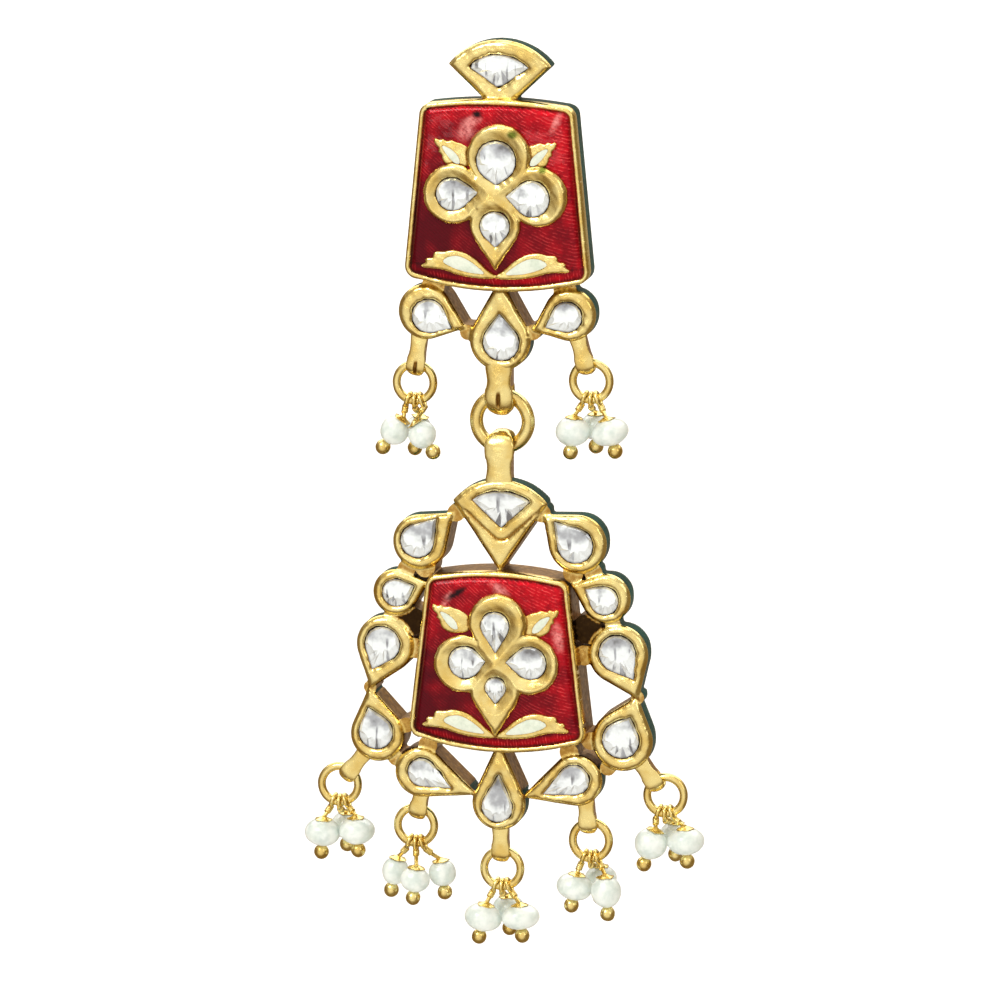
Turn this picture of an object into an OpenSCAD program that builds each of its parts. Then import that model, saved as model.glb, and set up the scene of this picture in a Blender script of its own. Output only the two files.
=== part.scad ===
// Chandelier earring: gold set with flat-cut diamonds, red and green enamel, seed pearls.
// Z is up, the front faces -Y, and the origin is where the ear post leaves the back.

/* [Body] */
// Depth of the gold body from its back to the front of the bezels
body_depth = 3.2; // [2.6:0.1:4]
// Depth of the plaques from the back to the front of their rims
plaque_depth = 3.8; // [3.4:0.1:4.4]
// Depth of the flowers from the back to their front
flower_depth = 4.6; // [4.4:0.1:5.2]
// Thickness of the gold that shows at the front edge of the bezels
front_gold = 0.8; // [0.5:0.1:1.2]
// Thickness of the green enamel on the sides and the back
green_wall = 0.3; // [0.2:0.05:0.4]
// Width of the gold rim around each red plaque
rim_width = 0.42; // [0.3:0.02:0.6]
// Gap between an enamel or a stone and its gold
seat_gap = 0.03; // [0.02:0.01:0.06]

/* [Stones] */
// Depth of the pocket that a stone sits in
pocket_depth = 0.8; // [0.75:0.05:0.8]
// Height of a stone's straight edge
girdle = 0.5; // [0.4:0.05:0.6]
// Height of a stone's sloping facets
crown = 0.35; // [0.2:0.05:0.5]
// Size of a stone's flat top as a share of its outline
table_share = 0.55; // [0.4:0.05:0.7]

/* [Link] */
// Radius of the link ring at the middle of its wire
link_radius = 2.06; // [2:0.02:2.2]
// Radius of the link ring's wire
link_wire = 0.52; // [0.4:0.02:0.54]
// Width of the two large bails
bail_width = 1.9; // [1.6:0.1:1.9]
// Radius of the hole in the two large bails
bail_bore = 0.95; // [0.92:0.01:1]
// Outer radius of the bail under the top body
top_bail_radius = 1.6; // [1.5:0.05:1.6]
// Outer radius of the bail on the pendant
pendant_bail_radius = 1.45; // [1.4:0.05:1.6]

/* [Pearl drops] */
// Radius of a jump ring at the middle of its wire
jump_radius = 1.46; // [1.4:0.02:1.6]
// Radius of a jump ring's wire
jump_wire = 0.32; // [0.26:0.02:0.34]
// Width of a small bail
small_bail_width = 1.35; // [1.1:0.05:1.4]
// Outer radius of a small bail
small_bail_radius = 0.9; // [0.85:0.05:1]
// Radius of the hole in a small bail
small_bail_bore = 0.6; // [0.58:0.01:0.65]
// Radius of a head pin's wire
pin_wire = 0.13; // [0.1:0.01:0.14]
// Radius of the gold ball under a pearl
ball_radius = 0.6; // [0.5:0.05:0.7]

/* [Ear post] */
// Radius of the ear post
post_radius = 0.4; // [0.35:0.05:0.5]
// Length of the ear post behind the back
post_length = 9.5; // [8:0.5:11]
// Radius of the post's foot
foot_radius = 1.3; // [1:0.1:1.5]

/* [Hidden] */
$fn = 48;
mid_y = -body_depth / 2;
front_y = -body_depth;
plaque_front_y = -plaque_depth;
flower_front_y = -flower_depth;
// How far the tray's floor lies behind the front of the bezels
tray_sink = 0.2;
tray_floor_y = front_y + tray_sink;
// How far the leaves and the red cushion stand out before the plaque's rim
leaf_rise = 0.45;
leaf_front_y = plaque_front_y - leaf_rise;
cushion_rise = 0.25;
cushion_front_y = plaque_front_y - cushion_rise;
cushion_inset = 0.9;
// How far the red enamel's edge lies behind the front of the rim
enamel_recess = 0.05;
pierce = 1;
lap = 0.1;
leaf_pocket = 0.3;
// How far out a pear's straight sides start inside its circle, so that they cross it
bite = 0.985;
// Width of a bail's neck as a share of its eye, and the lengths of the two large necks
neck_share = 0.85;
top_bail_neck = 2.6;
pendant_bail_neck = 2.9;
// The inner field's size in the green enamel, a little over its size in the gold
green_field_share = 1.01;

// Columns of a setting: bezel x, z, radius, bezel tip x, z, stone x, z, radius, stone tip x, z
BX = 0;
BZ = 1;
BR = 2;
BTX = 3;
BTZ = 4;
SX = 5;
SZ = 6;
SR = 7;
STX = 8;
STZ = 9;

top_settings = [
    [-5.80, -11.20, 2.15, -2.60, -12.35, -5.55, -11.50, 1.33, -3.75, -12.40],
    [0.10, -13.20, 2.40, 0.10, -8.30, 0.20, -13.35, 1.45, 0.05, -11.10],
    [5.60, -11.00, 2.05, 2.60, -12.35, 5.40, -11.15, 1.20, 3.70, -12.05]
];

rim_settings = [
    [-6.30, -29.40, 2.15, -3.60, -27.00, -6.50, -29.30, 1.35, -4.95, -27.45],
    [-8.25, -33.50, 1.80, -5.60, -32.60, -8.20, -33.50, 1.12, -6.75, -32.90],
    [-9.10, -37.70, 2.30, -10.30, -41.30, -9.30, -37.65, 1.42, -10.15, -39.75],
    [-9.75, -44.95, 2.15, -10.40, -41.10, -9.85, -44.75, 1.38, -10.45, -42.80],
    [-6.30, -47.80, 2.00, -1.70, -49.40, -6.15, -47.80, 1.15, -3.80, -48.95],
    [0.00, -50.00, 2.12, 0.00, -44.90, -0.10, -50.25, 1.25, 0.05, -47.60],
    [6.20, -47.80, 2.05, 1.80, -49.40, 6.05, -47.75, 1.22, 3.55, -49.05],
    [9.85, -44.45, 2.40, 11.00, -40.80, 9.75, -44.35, 1.48, 10.50, -42.50],
    [9.50, -37.60, 2.35, 11.10, -41.10, 9.45, -37.50, 1.48, 10.75, -39.50],
    [8.50, -33.20, 1.95, 5.70, -32.20, 8.40, -33.35, 1.15, 6.85, -32.45],
    [6.25, -29.00, 2.30, 3.50, -26.80, 6.10, -29.10, 1.42, 4.40, -27.25]
];

// Solder that joins neighbouring bezels. Columns: x, z, radius
top_webs = [
    [-2.50, -12.70, 0.60],
    [2.70, -12.50, 0.60],
    [-5.20, -9.10, 0.90],
    [5.20, -9.10, 0.90]
];

rim_webs = [
    [-3.40, -26.95, 0.70],
    [-5.90, -31.40, 0.80],
    [-7.40, -31.60, 0.70],
    [-8.60, -35.35, 0.60],
    [-6.70, -37.90, 0.80],
    [-10.35, -41.20, 0.50],
    [-7.45, -44.10, 0.60],
    [-8.30, -46.80, 0.60],
    [-5.70, -45.60, 0.75],
    [5.60, -45.60, 0.75],
    [8.70, -46.70, 0.60],
    [7.30, -44.60, 0.70],
    [11.05, -40.95, 0.50],
    [6.80, -37.80, 0.80],
    [9.05, -35.20, 0.60],
    [7.50, -31.20, 0.70],
    [5.90, -31.30, 0.80],
    [3.40, -26.70, 0.70]
];

// Columns of a fan: middle x, half width, tip z, arc top z, point z
top_fan = [0.08, 4.03, 8.20, 10.15, 4.40];
top_fan_stone = [0.00, 2.35, 8.05, 9.05, 6.45];
pendant_fan = [0.10, 3.75, -25.95, -24.18, -30.80];
pendant_fan_stone = [0.20, 2.35, -25.80, -25.05, -27.95];

// Columns of a plaque: half width at the top, at the bottom, top z, bottom z, top bulge, bottom bulge
top_plaque = [6.10, 7.25, 5.25, -8.50, 0.35, 0.75];
pendant_plaque = [5.70, 7.00, -31.80, -44.85, 0.45, 0.85];
plaque_corner = 1.0;
least_corner = 0.25;

// Flower centres, and their lobes. Columns of a lobe: x, z, radius, all from the flower's centre
top_flower_z = -1.60;
pendant_flower_z = -38.30;
top_lobes = [[0.30, 2.95, 2.50], [-3.30, -0.10, 2.35], [3.35, -0.10, 2.35], [0.10, 0.10, 2.20]];
pendant_lobes = [[0.20, 3.05, 2.30], [-2.60, -0.35, 2.30], [2.65, -0.20, 2.40], [0.05, 0.20, 2.00]];
flower_point = [0, -2.40, 2.00, 0.05, -6.00];

// Columns of a petal's stone, from the flower's centre: x, z, radius, tip x, z
top_petals = [
    [0.10, 2.60, 1.58, 0.10, 0.72],
    [-3.35, -0.10, 1.30, -1.30, 0.10],
    [2.90, -0.25, 1.42, 0.85, -0.15],
    [0.00, -2.50, 1.18, 0.05, -4.15]
];
pendant_petals = [
    [0.00, 2.80, 1.15, 0.05, 0.65],
    [-2.40, -0.20, 1.30, -0.75, -0.05],
    [2.80, 0.00, 1.32, 0.85, -0.05],
    [0.05, -2.10, 0.85, 0.05, -3.40]
];

// Columns of a leaf, from the flower's centre: stem x, z, tip x, z, bulge of its upper and lower edge
gold_leaves = [
    [-2.20, 2.00, -4.90, 4.20, 0.75, 0.70],
    [-0.25, -6.40, -4.70, -5.50, 1.10, 0.20],
    [-4.20, -5.60, -5.80, -6.00, 0.35, 0.20]
];
white_leaves = [[-3.05, 2.68, -4.35, 3.72, 0.38, 0.36], [-1.00, -6.28, -4.10, -5.62, 0.55, 0.05]];
leaf_steps = 8;

// Columns of a pearl drop's bail: ring x, ring z, lean in degrees, neck length
drops = [
    [-6.96, -17.02, -8, 2.9],
    [7.04, -16.35, 15, 2.6],
    [-13.12, -49.44, -38, 2.7],
    [-6.96, -52.43, -12, 1.9],
    [0.00, -55.53, 0, 2.5],
    [7.11, -52.86, 5, 2.3],
    [13.05, -48.92, 35, 2.3]
];
drop_names = ["upper_left", "upper_right", "far_left", "left", "centre", "right", "far_right"];
upper_drops = [0, 1];
pendant_drops = [2, 3, 4, 5, 6];
pins_per_drop = 3;
pin_spread = 22;

// Columns of a pearl: x, y, z, lean in degrees, width, height. Three rows make one drop.
pearls = [
    [-8.44, -2.2, -20.76, -35, 2.15, 2.20],
    [-7.11, 0.1, -21.00, -10, 2.00, 2.00],
    [-6.05, -3.0, -20.85, 33, 2.05, 2.05],
    [5.76, -2.4, -20.19, -6, 2.55, 2.20],
    [7.05, 0.2, -20.24, 0, 2.40, 2.00],
    [8.69, -2.4, -20.12, 16, 2.80, 2.00],
    [-14.33, -2.4, -53.20, -4, 2.70, 2.10],
    [-13.00, 0.2, -53.19, 0, 2.50, 2.00],
    [-11.56, -2.4, -52.92, 4, 2.70, 2.05],
    [-8.79, -1.0, -56.37, -12, 2.00, 2.10],
    [-6.67, -3.2, -56.40, -6, 2.20, 1.90],
    [-5.00, -1.0, -56.34, 8, 2.05, 2.00],
    [-1.35, -2.4, -59.37, -12, 2.80, 2.10],
    [0.05, 0.3, -59.28, 4, 2.50, 2.00],
    [1.65, -2.4, -59.16, 5, 2.80, 1.90],
    [5.92, -2.0, -56.55, -10, 2.75, 2.00],
    [7.40, 0.6, -56.45, 0, 2.40, 2.00],
    [8.60, -2.8, -56.63, 4, 2.25, 2.40],
    [12.06, -2.4, -52.67, -18, 2.40, 2.35],
    [13.50, 0.2, -52.50, 0, 2.40, 2.00],
    [14.85, -2.4, -52.32, 4, 2.75, 2.05]
];
pearl_bore = pin_wire + seat_gap;
pearl_steps = 12;

// Where the link ring hangs, and the two wires that its bails hold
link_centre_z = -19.76;
top_bail_z = link_centre_z + link_radius;
pendant_bail_z = link_centre_z - link_radius;

// Carries a flat drawing in x and z to the depths from y0, the front, to y1, the back.
module slab(y0, y1) {
    translate([0, y1, 0]) rotate([90, 0, 0]) linear_extrude(y1 - y0) children();
}

// A pear: a circle drawn out to a tip, grown by g all round.
module pear(x, z, r, tip_x, tip_z, g = 0) {
    grown = r + g;
    reach = norm([tip_x - x, tip_z - z]) * grown / r;
    turn = atan2(tip_z - z, tip_x - x);
    spread = acos(grown / reach);
    inside = bite * grown;
    translate([x, z]) circle(grown);
    translate([x, z]) rotate(turn) polygon([
        [reach, 0],
        [inside * cos(spread), inside * sin(spread)],
        [0, 0],
        [inside * cos(spread), -inside * sin(spread)]
    ]);
}

// The points of the same pear, for a stone with flat facets.
function pear_points(x, z, r, tip_x, tip_z, steps = 11) =
    let (
        reach = norm([tip_x - x, tip_z - z]),
        turn = atan2(tip_z - z, tip_x - x),
        spread = acos(r / reach)
    )
    concat(
        [[tip_x, tip_z]],
        [for (i = [0:steps]) let (a = turn + spread + i * (360 - 2 * spread) / steps) [x + r * cos(a), z + r * sin(a)]]
    );

// Radius of a fan's arc, from its half width and the rise of the arc over its tips.
function fan_radius(fan) = (pow(fan[1], 2) + pow(fan[3] - fan[2], 2)) / (2 * (fan[3] - fan[2]));

// A fan: an arc on top and two straight sides down to a point, grown by g all round.
module fan_outline(fan, g = 0) {
    lean = atan(fan[1] / (fan[2] - fan[4]));
    side = 3 * fan[1];
    intersection() {
        translate([fan[0], fan[3] - fan_radius(fan)]) circle(fan_radius(fan) + g);
        translate([fan[0], fan[4] - g / sin(lean)])
            polygon([[0, 0], [side * sin(lean), side * cos(lean)], [-side * sin(lean), side * cos(lean)]]);
    }
}

// The points of a fan-shaped stone, from its tip over the arc to the other tip and the point below.
function fan_points(fan, steps = 8) =
    let (
        r = fan_radius(fan),
        half = asin(fan[1] / r)
    )
    concat(
        [for (i = [0:steps]) let (a = half - 2 * half * i / steps) [fan[0] + r * sin(a), fan[3] - r + r * cos(a)]],
        [[fan[0], fan[4]]]
    );

// One bulged edge of a plaque, from the right to the left or back.
function bulged(half, z, bulge, way, steps = 6) =
    [for (i = [1:steps - 1]) let (t = way * (1 - 2 * i / steps)) [half * t, z + bulge * (1 - t * t)]];

// One round corner of a plaque about its own centre.
function corner(x, z, r, from, steps = 4) =
    [for (i = [0:steps]) let (a = from + 90 * i / steps) [x + r * cos(a), z + r * sin(a)]];

// The outline of a plaque: wider below, with round corners and bulged top and bottom, grown by g.
function plaque_points(plaque, g = 0) =
    let (
        r = max(plaque_corner + g, least_corner),
        top = plaque[0] + g - r,
        low = plaque[1] + g - r,
        top_z = plaque[2] + g,
        low_z = plaque[3] - g
    )
    concat(
        corner(top, top_z - r, r, 0),
        bulged(top, top_z, plaque[4], 1),
        corner(-top, top_z - r, r, 90),
        corner(-low, low_z + r, r, 180),
        bulged(low, low_z, -plaque[5], -1),
        corner(low, low_z + r, r, 270)
    );

// A leaf between its stem and its tip, with one bulge on each edge, grown by g.
function leaf_points(leaf, g = 0) =
    let (
        stem = [leaf[0], leaf[1]],
        along = [leaf[2], leaf[3]] - stem,
        unit = along / norm(along),
        up = [unit[1], -unit[0]],
        start = stem - 2 * g * unit,
        run = norm(along) + 4 * g
    )
    concat(
        [for (i = [0:leaf_steps]) let (t = i / leaf_steps)
            start + run * t * unit + (leaf[4] + g) * 4 * t * (1 - t) * up],
        [for (i = [1:leaf_steps - 1]) let (t = 1 - i / leaf_steps)
            start + run * t * unit - (leaf[5] + g) * 4 * t * (1 - t) * up]
    );

// Draws the left leaves as listed and the right ones as their mirror image.
module leaves(list, flower_z, g = 0) {
    for (side = [0, 1], leaf = list)
        translate([0, flower_z]) mirror([side, 0]) polygon(leaf_points(leaf, g));
}

module flower_outline(lobes, flower_z, g = 0) {
    translate([0, flower_z]) {
        for (lobe = lobes) translate([lobe[0], lobe[1]]) circle(lobe[2] + g);
        pear(flower_point[0], flower_point[1], flower_point[2], flower_point[3], flower_point[4], g);
    }
}

module bezel(s, g = 0) {
    pear(s[BX], s[BZ], s[BR], s[BTX], s[BTZ], g);
}

// The whole outline of one body: plaque, fan, bezels and solder.
module body_outline(plaque, fan, settings, webs, g = 0) {
    polygon(plaque_points(plaque, g));
    fan_outline(fan, g);
    for (s = settings) bezel(s, g);
    for (w = webs) translate([w[0], w[1]]) circle(w[2] + g);
}

// What lies inside the middle line of the bezels, where the walls of the openings stay gold.
module inner_field(middle_z, points, share) {
    translate([0, middle_z]) scale([share, share]) translate([0, -middle_z]) polygon(points);
}

top_field = [[-5.2, -11.2], [0.1, -13], [5.1, -11.0], [5.1, -7], [-5.2, -7]];
top_field_z = -10;
pendant_field_z = -39;
pendant_field = concat(
    [[0.1, -26.5]],
    [for (s = rim_settings) [s[BX], s[BZ]]]
);

// A bail: a round eye on a neck that leans back to the bezel which carries it. Its hole runs along x.
module eye(x, z, lean, width, radius, neck) {
    translate([x, mid_y, z]) rotate([0, -lean, 0]) {
        rotate([0, 90, 0]) cylinder(h = width, r = radius, center = true);
        translate([-width / 2, -neck_share * radius, 0]) cube([width, 2 * neck_share * radius, neck]);
    }
}

module eye_hole(x, z, lean, width, bore) {
    translate([x, mid_y, z]) rotate([0, 90 - lean, 0]) cylinder(h = width + pierce, r = bore, center = true);
}

function eye_x(d) = d[0] - jump_radius * sin(d[2]);
function eye_z(d) = d[1] + jump_radius * cos(d[2]);

module small_eyes(which) {
    for (i = which)
        eye(eye_x(drops[i]), eye_z(drops[i]), drops[i][2], small_bail_width, small_bail_radius, drops[i][3]);
}

module small_eye_holes(which) {
    for (i = which)
        eye_hole(eye_x(drops[i]), eye_z(drops[i]), drops[i][2], small_bail_width, small_bail_bore);
}

// Clearance around the necks, cut from the green enamel that they pass.
module small_neck_room(which) {
    for (i = which)
        eye(eye_x(drops[i]), eye_z(drops[i]), drops[i][2], small_bail_width + 2 * seat_gap,
            small_bail_radius + 2 * seat_gap, drops[i][3] + seat_gap);
}

module petal_pockets(petals, flower_z) {
    slab(flower_front_y - pierce, flower_front_y + pocket_depth)
        translate([0, flower_z]) for (p = petals) pear(p[0], p[1], p[2], p[3], p[4], seat_gap);
}

module stone_pockets(settings) {
    slab(front_y - pierce, front_y + pocket_depth)
        for (s = settings) pear(s[SX], s[SZ], s[SR], s[STX], s[STZ], seat_gap);
}

// The gold of one body: its front edge, its core inside the green enamel, its tray, flower and leaves.
module gold_body(plaque, fan, fan_stone, settings, webs, middle_z, field, lobes, petals, flower_z) {
    difference() {
        union() {
            slab(front_y, front_y + front_gold) body_outline(plaque, fan, settings, webs);
            slab(front_y + front_gold - lap, -green_wall - seat_gap)
                body_outline(plaque, fan, settings, webs, -green_wall - seat_gap);
            slab(front_y + front_gold - lap, -green_wall - seat_gap) intersection() {
                body_outline(plaque, fan, settings, webs);
                inner_field(middle_z, field, 1);
            }
            slab(plaque_front_y, front_y + lap) polygon(plaque_points(plaque));
        }
        slab(plaque_front_y - pierce, tray_floor_y) polygon(plaque_points(plaque, -rim_width));
        stone_pockets(settings);
        slab(front_y - pierce, front_y + pocket_depth) fan_outline(fan_stone, seat_gap);
    }
    difference() {
        slab(flower_front_y, tray_floor_y + lap) flower_outline(lobes, flower_z);
        petal_pockets(petals, flower_z);
    }
    difference() {
        slab(leaf_front_y, tray_floor_y + lap) leaves(gold_leaves, flower_z);
        slab(leaf_front_y - pierce, leaf_front_y + leaf_pocket) leaves(white_leaves, flower_z, seat_gap);
    }
}

module upper_frame() {
    color("goldenrod") difference() {
        union() {
            gold_body(top_plaque, top_fan, top_fan_stone, top_settings, top_webs, top_field_z, top_field,
                top_lobes, top_petals, top_flower_z);
            eye(0, top_bail_z, 0, bail_width, top_bail_radius, top_bail_neck);
            small_eyes(upper_drops);
        }
        eye_hole(0, top_bail_z, 0, bail_width, bail_bore);
        small_eye_holes(upper_drops);
    }
}

module pendant_frame() {
    color("goldenrod") difference() {
        union() {
            gold_body(pendant_plaque, pendant_fan, pendant_fan_stone, rim_settings, rim_webs, pendant_field_z,
                pendant_field, pendant_lobes, pendant_petals, pendant_flower_z);
            eye(0, pendant_bail_z, 180, bail_width, pendant_bail_radius, pendant_bail_neck);
            small_eyes(pendant_drops);
        }
        eye_hole(0, pendant_bail_z, 0, bail_width, bail_bore);
        small_eye_holes(pendant_drops);
    }
}

// Red enamel: a low cushion in the tray, cut out around the flower and the leaves.
module red_enamel(plaque, lobes, flower_z) {
    color("crimson") difference() {
        union() {
            slab(plaque_front_y + enamel_recess, tray_floor_y - seat_gap)
                polygon(plaque_points(plaque, -rim_width - seat_gap));
            slab(cushion_front_y, plaque_front_y + lap) polygon(plaque_points(plaque, -cushion_inset));
        }
        slab(cushion_front_y - pierce, tray_floor_y + pierce) {
            flower_outline(lobes, flower_z, seat_gap);
            leaves(gold_leaves, flower_z, seat_gap);
        }
    }
}

module leaf_enamel(flower_z) {
    color("honeydew") slab(leaf_front_y - seat_gap, leaf_front_y + leaf_pocket - seat_gap) leaves(white_leaves, flower_z);
}

// Green enamel: a thin wall around the outside of the body and a plate over its back.
module green_enamel(plaque, fan, settings, webs, middle_z, field) {
    slab(front_y + front_gold + seat_gap, 0) difference() {
        body_outline(plaque, fan, settings, webs);
        body_outline(plaque, fan, settings, webs, -green_wall);
        inner_field(middle_z, field, green_field_share);
    }
    slab(-green_wall, 0) body_outline(plaque, fan, settings, webs, -seat_gap);
}

module upper_green_enamel() {
    color("darkgreen") difference() {
        green_enamel(top_plaque, top_fan, top_settings, top_webs, top_field_z, top_field);
        small_neck_room(upper_drops);
        eye(0, top_bail_z, 0, bail_width + 2 * seat_gap, top_bail_radius + 2 * seat_gap, top_bail_neck + lap);
        rotate([90, 0, 0]) cylinder(h = 2 * pierce, r = foot_radius + seat_gap, center = true);
    }
}

module pendant_green_enamel() {
    color("darkgreen") difference() {
        green_enamel(pendant_plaque, pendant_fan, rim_settings, rim_webs, pendant_field_z, pendant_field);
        small_neck_room(pendant_drops);
        eye(0, pendant_bail_z, 180, bail_width + 2 * seat_gap, pendant_bail_radius + 2 * seat_gap,
            pendant_bail_neck + lap);
    }
}

// A plain ear post on its foot, with a blunt end.
module ear_post() {
    foot_back = 0.35;
    blunt = 0.3;
    color("goldenrod") rotate([-90, 0, 0]) {
        translate([0, 0, -green_wall]) cylinder(h = green_wall + foot_back, r = foot_radius);
        cylinder(h = post_length - blunt, r = post_radius);
        translate([0, 0, post_length - blunt]) cylinder(h = blunt, r1 = post_radius, r2 = post_radius / 2);
    }
}

// A flat-cut stone: a straight girdle and one row of facets up to its flat top.
module stone(points, x, z, pocket_front_y) {
    back = pocket_front_y + pocket_depth - seat_gap;
    color("lavender") {
        slab(back - girdle, back) polygon(points);
        translate([x, back - girdle, z]) rotate([90, 0, 0])
            linear_extrude(crown, scale = table_share) translate([-x, -z]) polygon(points);
    }
}

module fan_stone(fan) {
    stone(fan_points(fan), fan[0], (2 * fan[3] + fan[4]) / 3, front_y);
}

module set_stone(s) {
    stone(pear_points(s[SX], s[SZ], s[SR], s[STX], s[STZ]), s[SX], s[SZ], front_y);
}

module petal_stone(p, flower_z) {
    stone(pear_points(p[0], flower_z + p[1], p[2], p[3], flower_z + p[4]), p[0], flower_z + p[1], flower_front_y);
}

// A wire ring that stands in the x-z plane.
module wire_ring(x, z, radius, wire) {
    translate([x, mid_y, z]) rotate([90, 0, 0]) rotate_extrude() translate([radius, 0]) circle(wire);
}

module link_ring() {
    color("gold") wire_ring(0, link_centre_z, link_radius, link_wire);
}

module jump_ring(d) {
    color("gold") wire_ring(d[0], d[1], jump_radius, jump_wire);
}

// A straight wire from one point to another.
module wire(from, to, r) {
    step = to - from;
    translate(from) rotate([0, acos(step[2] / norm(step)), atan2(step[1], step[0])])
        cylinder(h = norm(step), r = r);
}

function pearl_place(p) = [p[0], p[1], p[2]];
// The way down a pearl's drilling, which leans to its side.
function pearl_down(p) = [sin(p[3]), 0, -cos(p[3])];

// A head pin: a loop on the jump ring, a bent wire, a small cap over the pearl and a ball under it.
module head_pin(d, p, swing) {
    loop_radius = 0.5;
    loop_bottom = loop_radius + 0.3 * pin_wire;
    cap_radius = 0.6;
    cap_top_radius = 0.2;
    cap_height = 0.22;
    touch = 0.05;
    shank = 0.85 * pin_wire;
    out = [sin(swing), 0, -cos(swing)];
    hang = [d[0], mid_y, d[1]];
    cap = pearl_place(p) - (p[5] / 2 + touch) * pearl_down(p);
    bend = cap - cap_height / 2 * pearl_down(p);
    ball = pearl_place(p) + (p[5] / 2 + ball_radius - touch) * pearl_down(p);
    translate(hang + jump_radius * out) rotate([0, -swing, 0]) rotate([0, 90, 0])
        rotate_extrude() translate([loop_radius, 0]) circle(pin_wire);
    wire(hang + (jump_radius + loop_bottom) * out, bend, shank);
    wire(bend, ball, shank);
    translate(cap) rotate([0, -p[3], 0]) cylinder(h = cap_height, r1 = cap_radius, r2 = cap_top_radius);
    translate(ball) rotate([0, -p[3], 0]) sphere(ball_radius);
}

module head_pins(i) {
    color("gold") for (k = [0:pins_per_drop - 1])
        head_pin(drops[i], pearls[pins_per_drop * i + k], (k - 1) * pin_spread);
}

// A pearl: an oval turned about its drilling.
module pearl(p) {
    low = asin(pearl_bore / (p[4] / 2));
    half_height = p[5] / 2 * cos(low);
    profile = concat(
        [[pearl_bore, -half_height], [pearl_bore, half_height]],
        [for (k = [1:pearl_steps - 1]) let (a = low + (180 - 2 * low) * k / pearl_steps)
            [p[4] / 2 * sin(a), p[5] / 2 * cos(a)]]
    );
    translate(pearl_place(p)) rotate([0, -p[3], 0]) rotate_extrude() polygon(profile);
}

module pearl_group(i) {
    color("ivory") for (k = [0:pins_per_drop - 1]) pearl(pearls[pins_per_drop * i + k]);
}

upper_frame();
red_enamel(top_plaque, top_lobes, top_flower_z);  // upper_red_enamel
leaf_enamel(top_flower_z);  // upper_leaf_enamel
upper_green_enamel();
ear_post();
fan_stone(top_fan_stone);  // upper_fan_stone
for (i = [1:len(top_petals)]) petal_stone(top_petals[i - 1], top_flower_z);
for (i = [1:len(top_settings)]) set_stone(top_settings[i - 1]);
link_ring();
pendant_frame();
red_enamel(pendant_plaque, pendant_lobes, pendant_flower_z);  // pendant_red_enamel
leaf_enamel(pendant_flower_z);  // pendant_leaf_enamel
pendant_green_enamel();
fan_stone(pendant_fan_stone);
for (i = [1:len(pendant_petals)]) petal_stone(pendant_petals[i - 1], pendant_flower_z);
for (i = [1:len(rim_settings)]) set_stone(rim_settings[i - 1]);
for (i = [0:len(drops) - 1]) {
    jump_ring(drops[i]);
    head_pins(i);
    pearl_group(i);
}
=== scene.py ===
"""The looks of a two-tier chandelier drop earring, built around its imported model.

Lengths are in millimetres until a mesh is made. X runs to the viewer's right, the front faces -Y and Z
is up. A flat point is (x, z), and a height is how far a surface stands out in front of the back.
"""

import logging
import math
from collections.abc import Callable, Iterable, Sequence
from dataclasses import dataclass, field
from enum import Enum
from functools import reduce

import bpy
import numpy as np
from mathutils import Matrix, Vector
from mathutils.geometry import delaunay_2d_cdt


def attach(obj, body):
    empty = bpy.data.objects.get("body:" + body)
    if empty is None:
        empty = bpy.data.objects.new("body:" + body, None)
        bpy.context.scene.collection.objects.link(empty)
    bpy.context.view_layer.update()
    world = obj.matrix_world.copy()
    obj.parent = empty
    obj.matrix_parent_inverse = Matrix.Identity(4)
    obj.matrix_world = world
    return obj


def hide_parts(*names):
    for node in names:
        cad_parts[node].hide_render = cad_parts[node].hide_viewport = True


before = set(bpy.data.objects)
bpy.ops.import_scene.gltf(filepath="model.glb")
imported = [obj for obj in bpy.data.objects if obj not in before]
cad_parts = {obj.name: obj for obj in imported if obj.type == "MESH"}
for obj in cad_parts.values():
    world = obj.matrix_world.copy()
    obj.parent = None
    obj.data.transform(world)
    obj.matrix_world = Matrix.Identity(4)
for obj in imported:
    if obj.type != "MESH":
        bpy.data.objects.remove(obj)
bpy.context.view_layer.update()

log = logging.getLogger("earring")
MM = 0.001

# Short names for types
Array = np.ndarray
Thing = bpy.types.Object
Material = bpy.types.Material
Socket = bpy.types.NodeSocket
Row = Sequence[float]

# Values at flat points, a flat box as its least and its greatest x and z, and an oval spot as its x, z, half
# length, half width and turn in degrees
Field = Callable[[Array], Array]
Box = tuple[float, float, float, float]
Spot = tuple[float, float, float, float, float]

# Heights of the layers in front of the back
FRONT = 3.2
RIM_FRONT = 3.8
TRAY_FLOOR = 3.0
LEAF_FRONT = 4.25
CUSHION_FRONT = 4.05
FLOWER_FRONT = 4.6
EDGE_BACK = 2.66
CORE_BACK = 0.33
GREEN_FRONT = 2.68
GREEN_WALL = 0.33
RIM_WIDTH = 0.42
MIDDLE = 1.6

# How far a bezel's band falls at its outline and at its stone
BAND_DROP = 0.36
BAND_LIP = 0.2
PETAL_LIP = 0.3

# How deep the stones' pockets are under the lip, and how far the stones' edges lie under it
POCKET = 0.22
STONE_SINK = 0.02

# The steps between two corners of a flowing curve
FLOW_STEPS = 5


def blend_low(a: Array, b: Array, reach: float) -> Array:
    """The lower of two fields, rounded within a reach of where they cross."""
    share = np.clip(0.5 + 0.5 * (b - a) / reach, 0, 1)
    return b * (1 - share) + a * share - reach * share * (1 - share)


def blend_high(a: Array, b: Array, reach: float) -> Array:
    """The higher of two fields, rounded in the same way."""
    return -blend_low(-a, -b, reach)


def merged(shape: Array, others: Iterable[Field], points: Array, reach: float) -> Array:
    """A shape's distances at flat points, with other outlines blended in within a reach."""
    return reduce(lambda whole, other: blend_low(whole, other(points), reach), others, shape)


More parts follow.
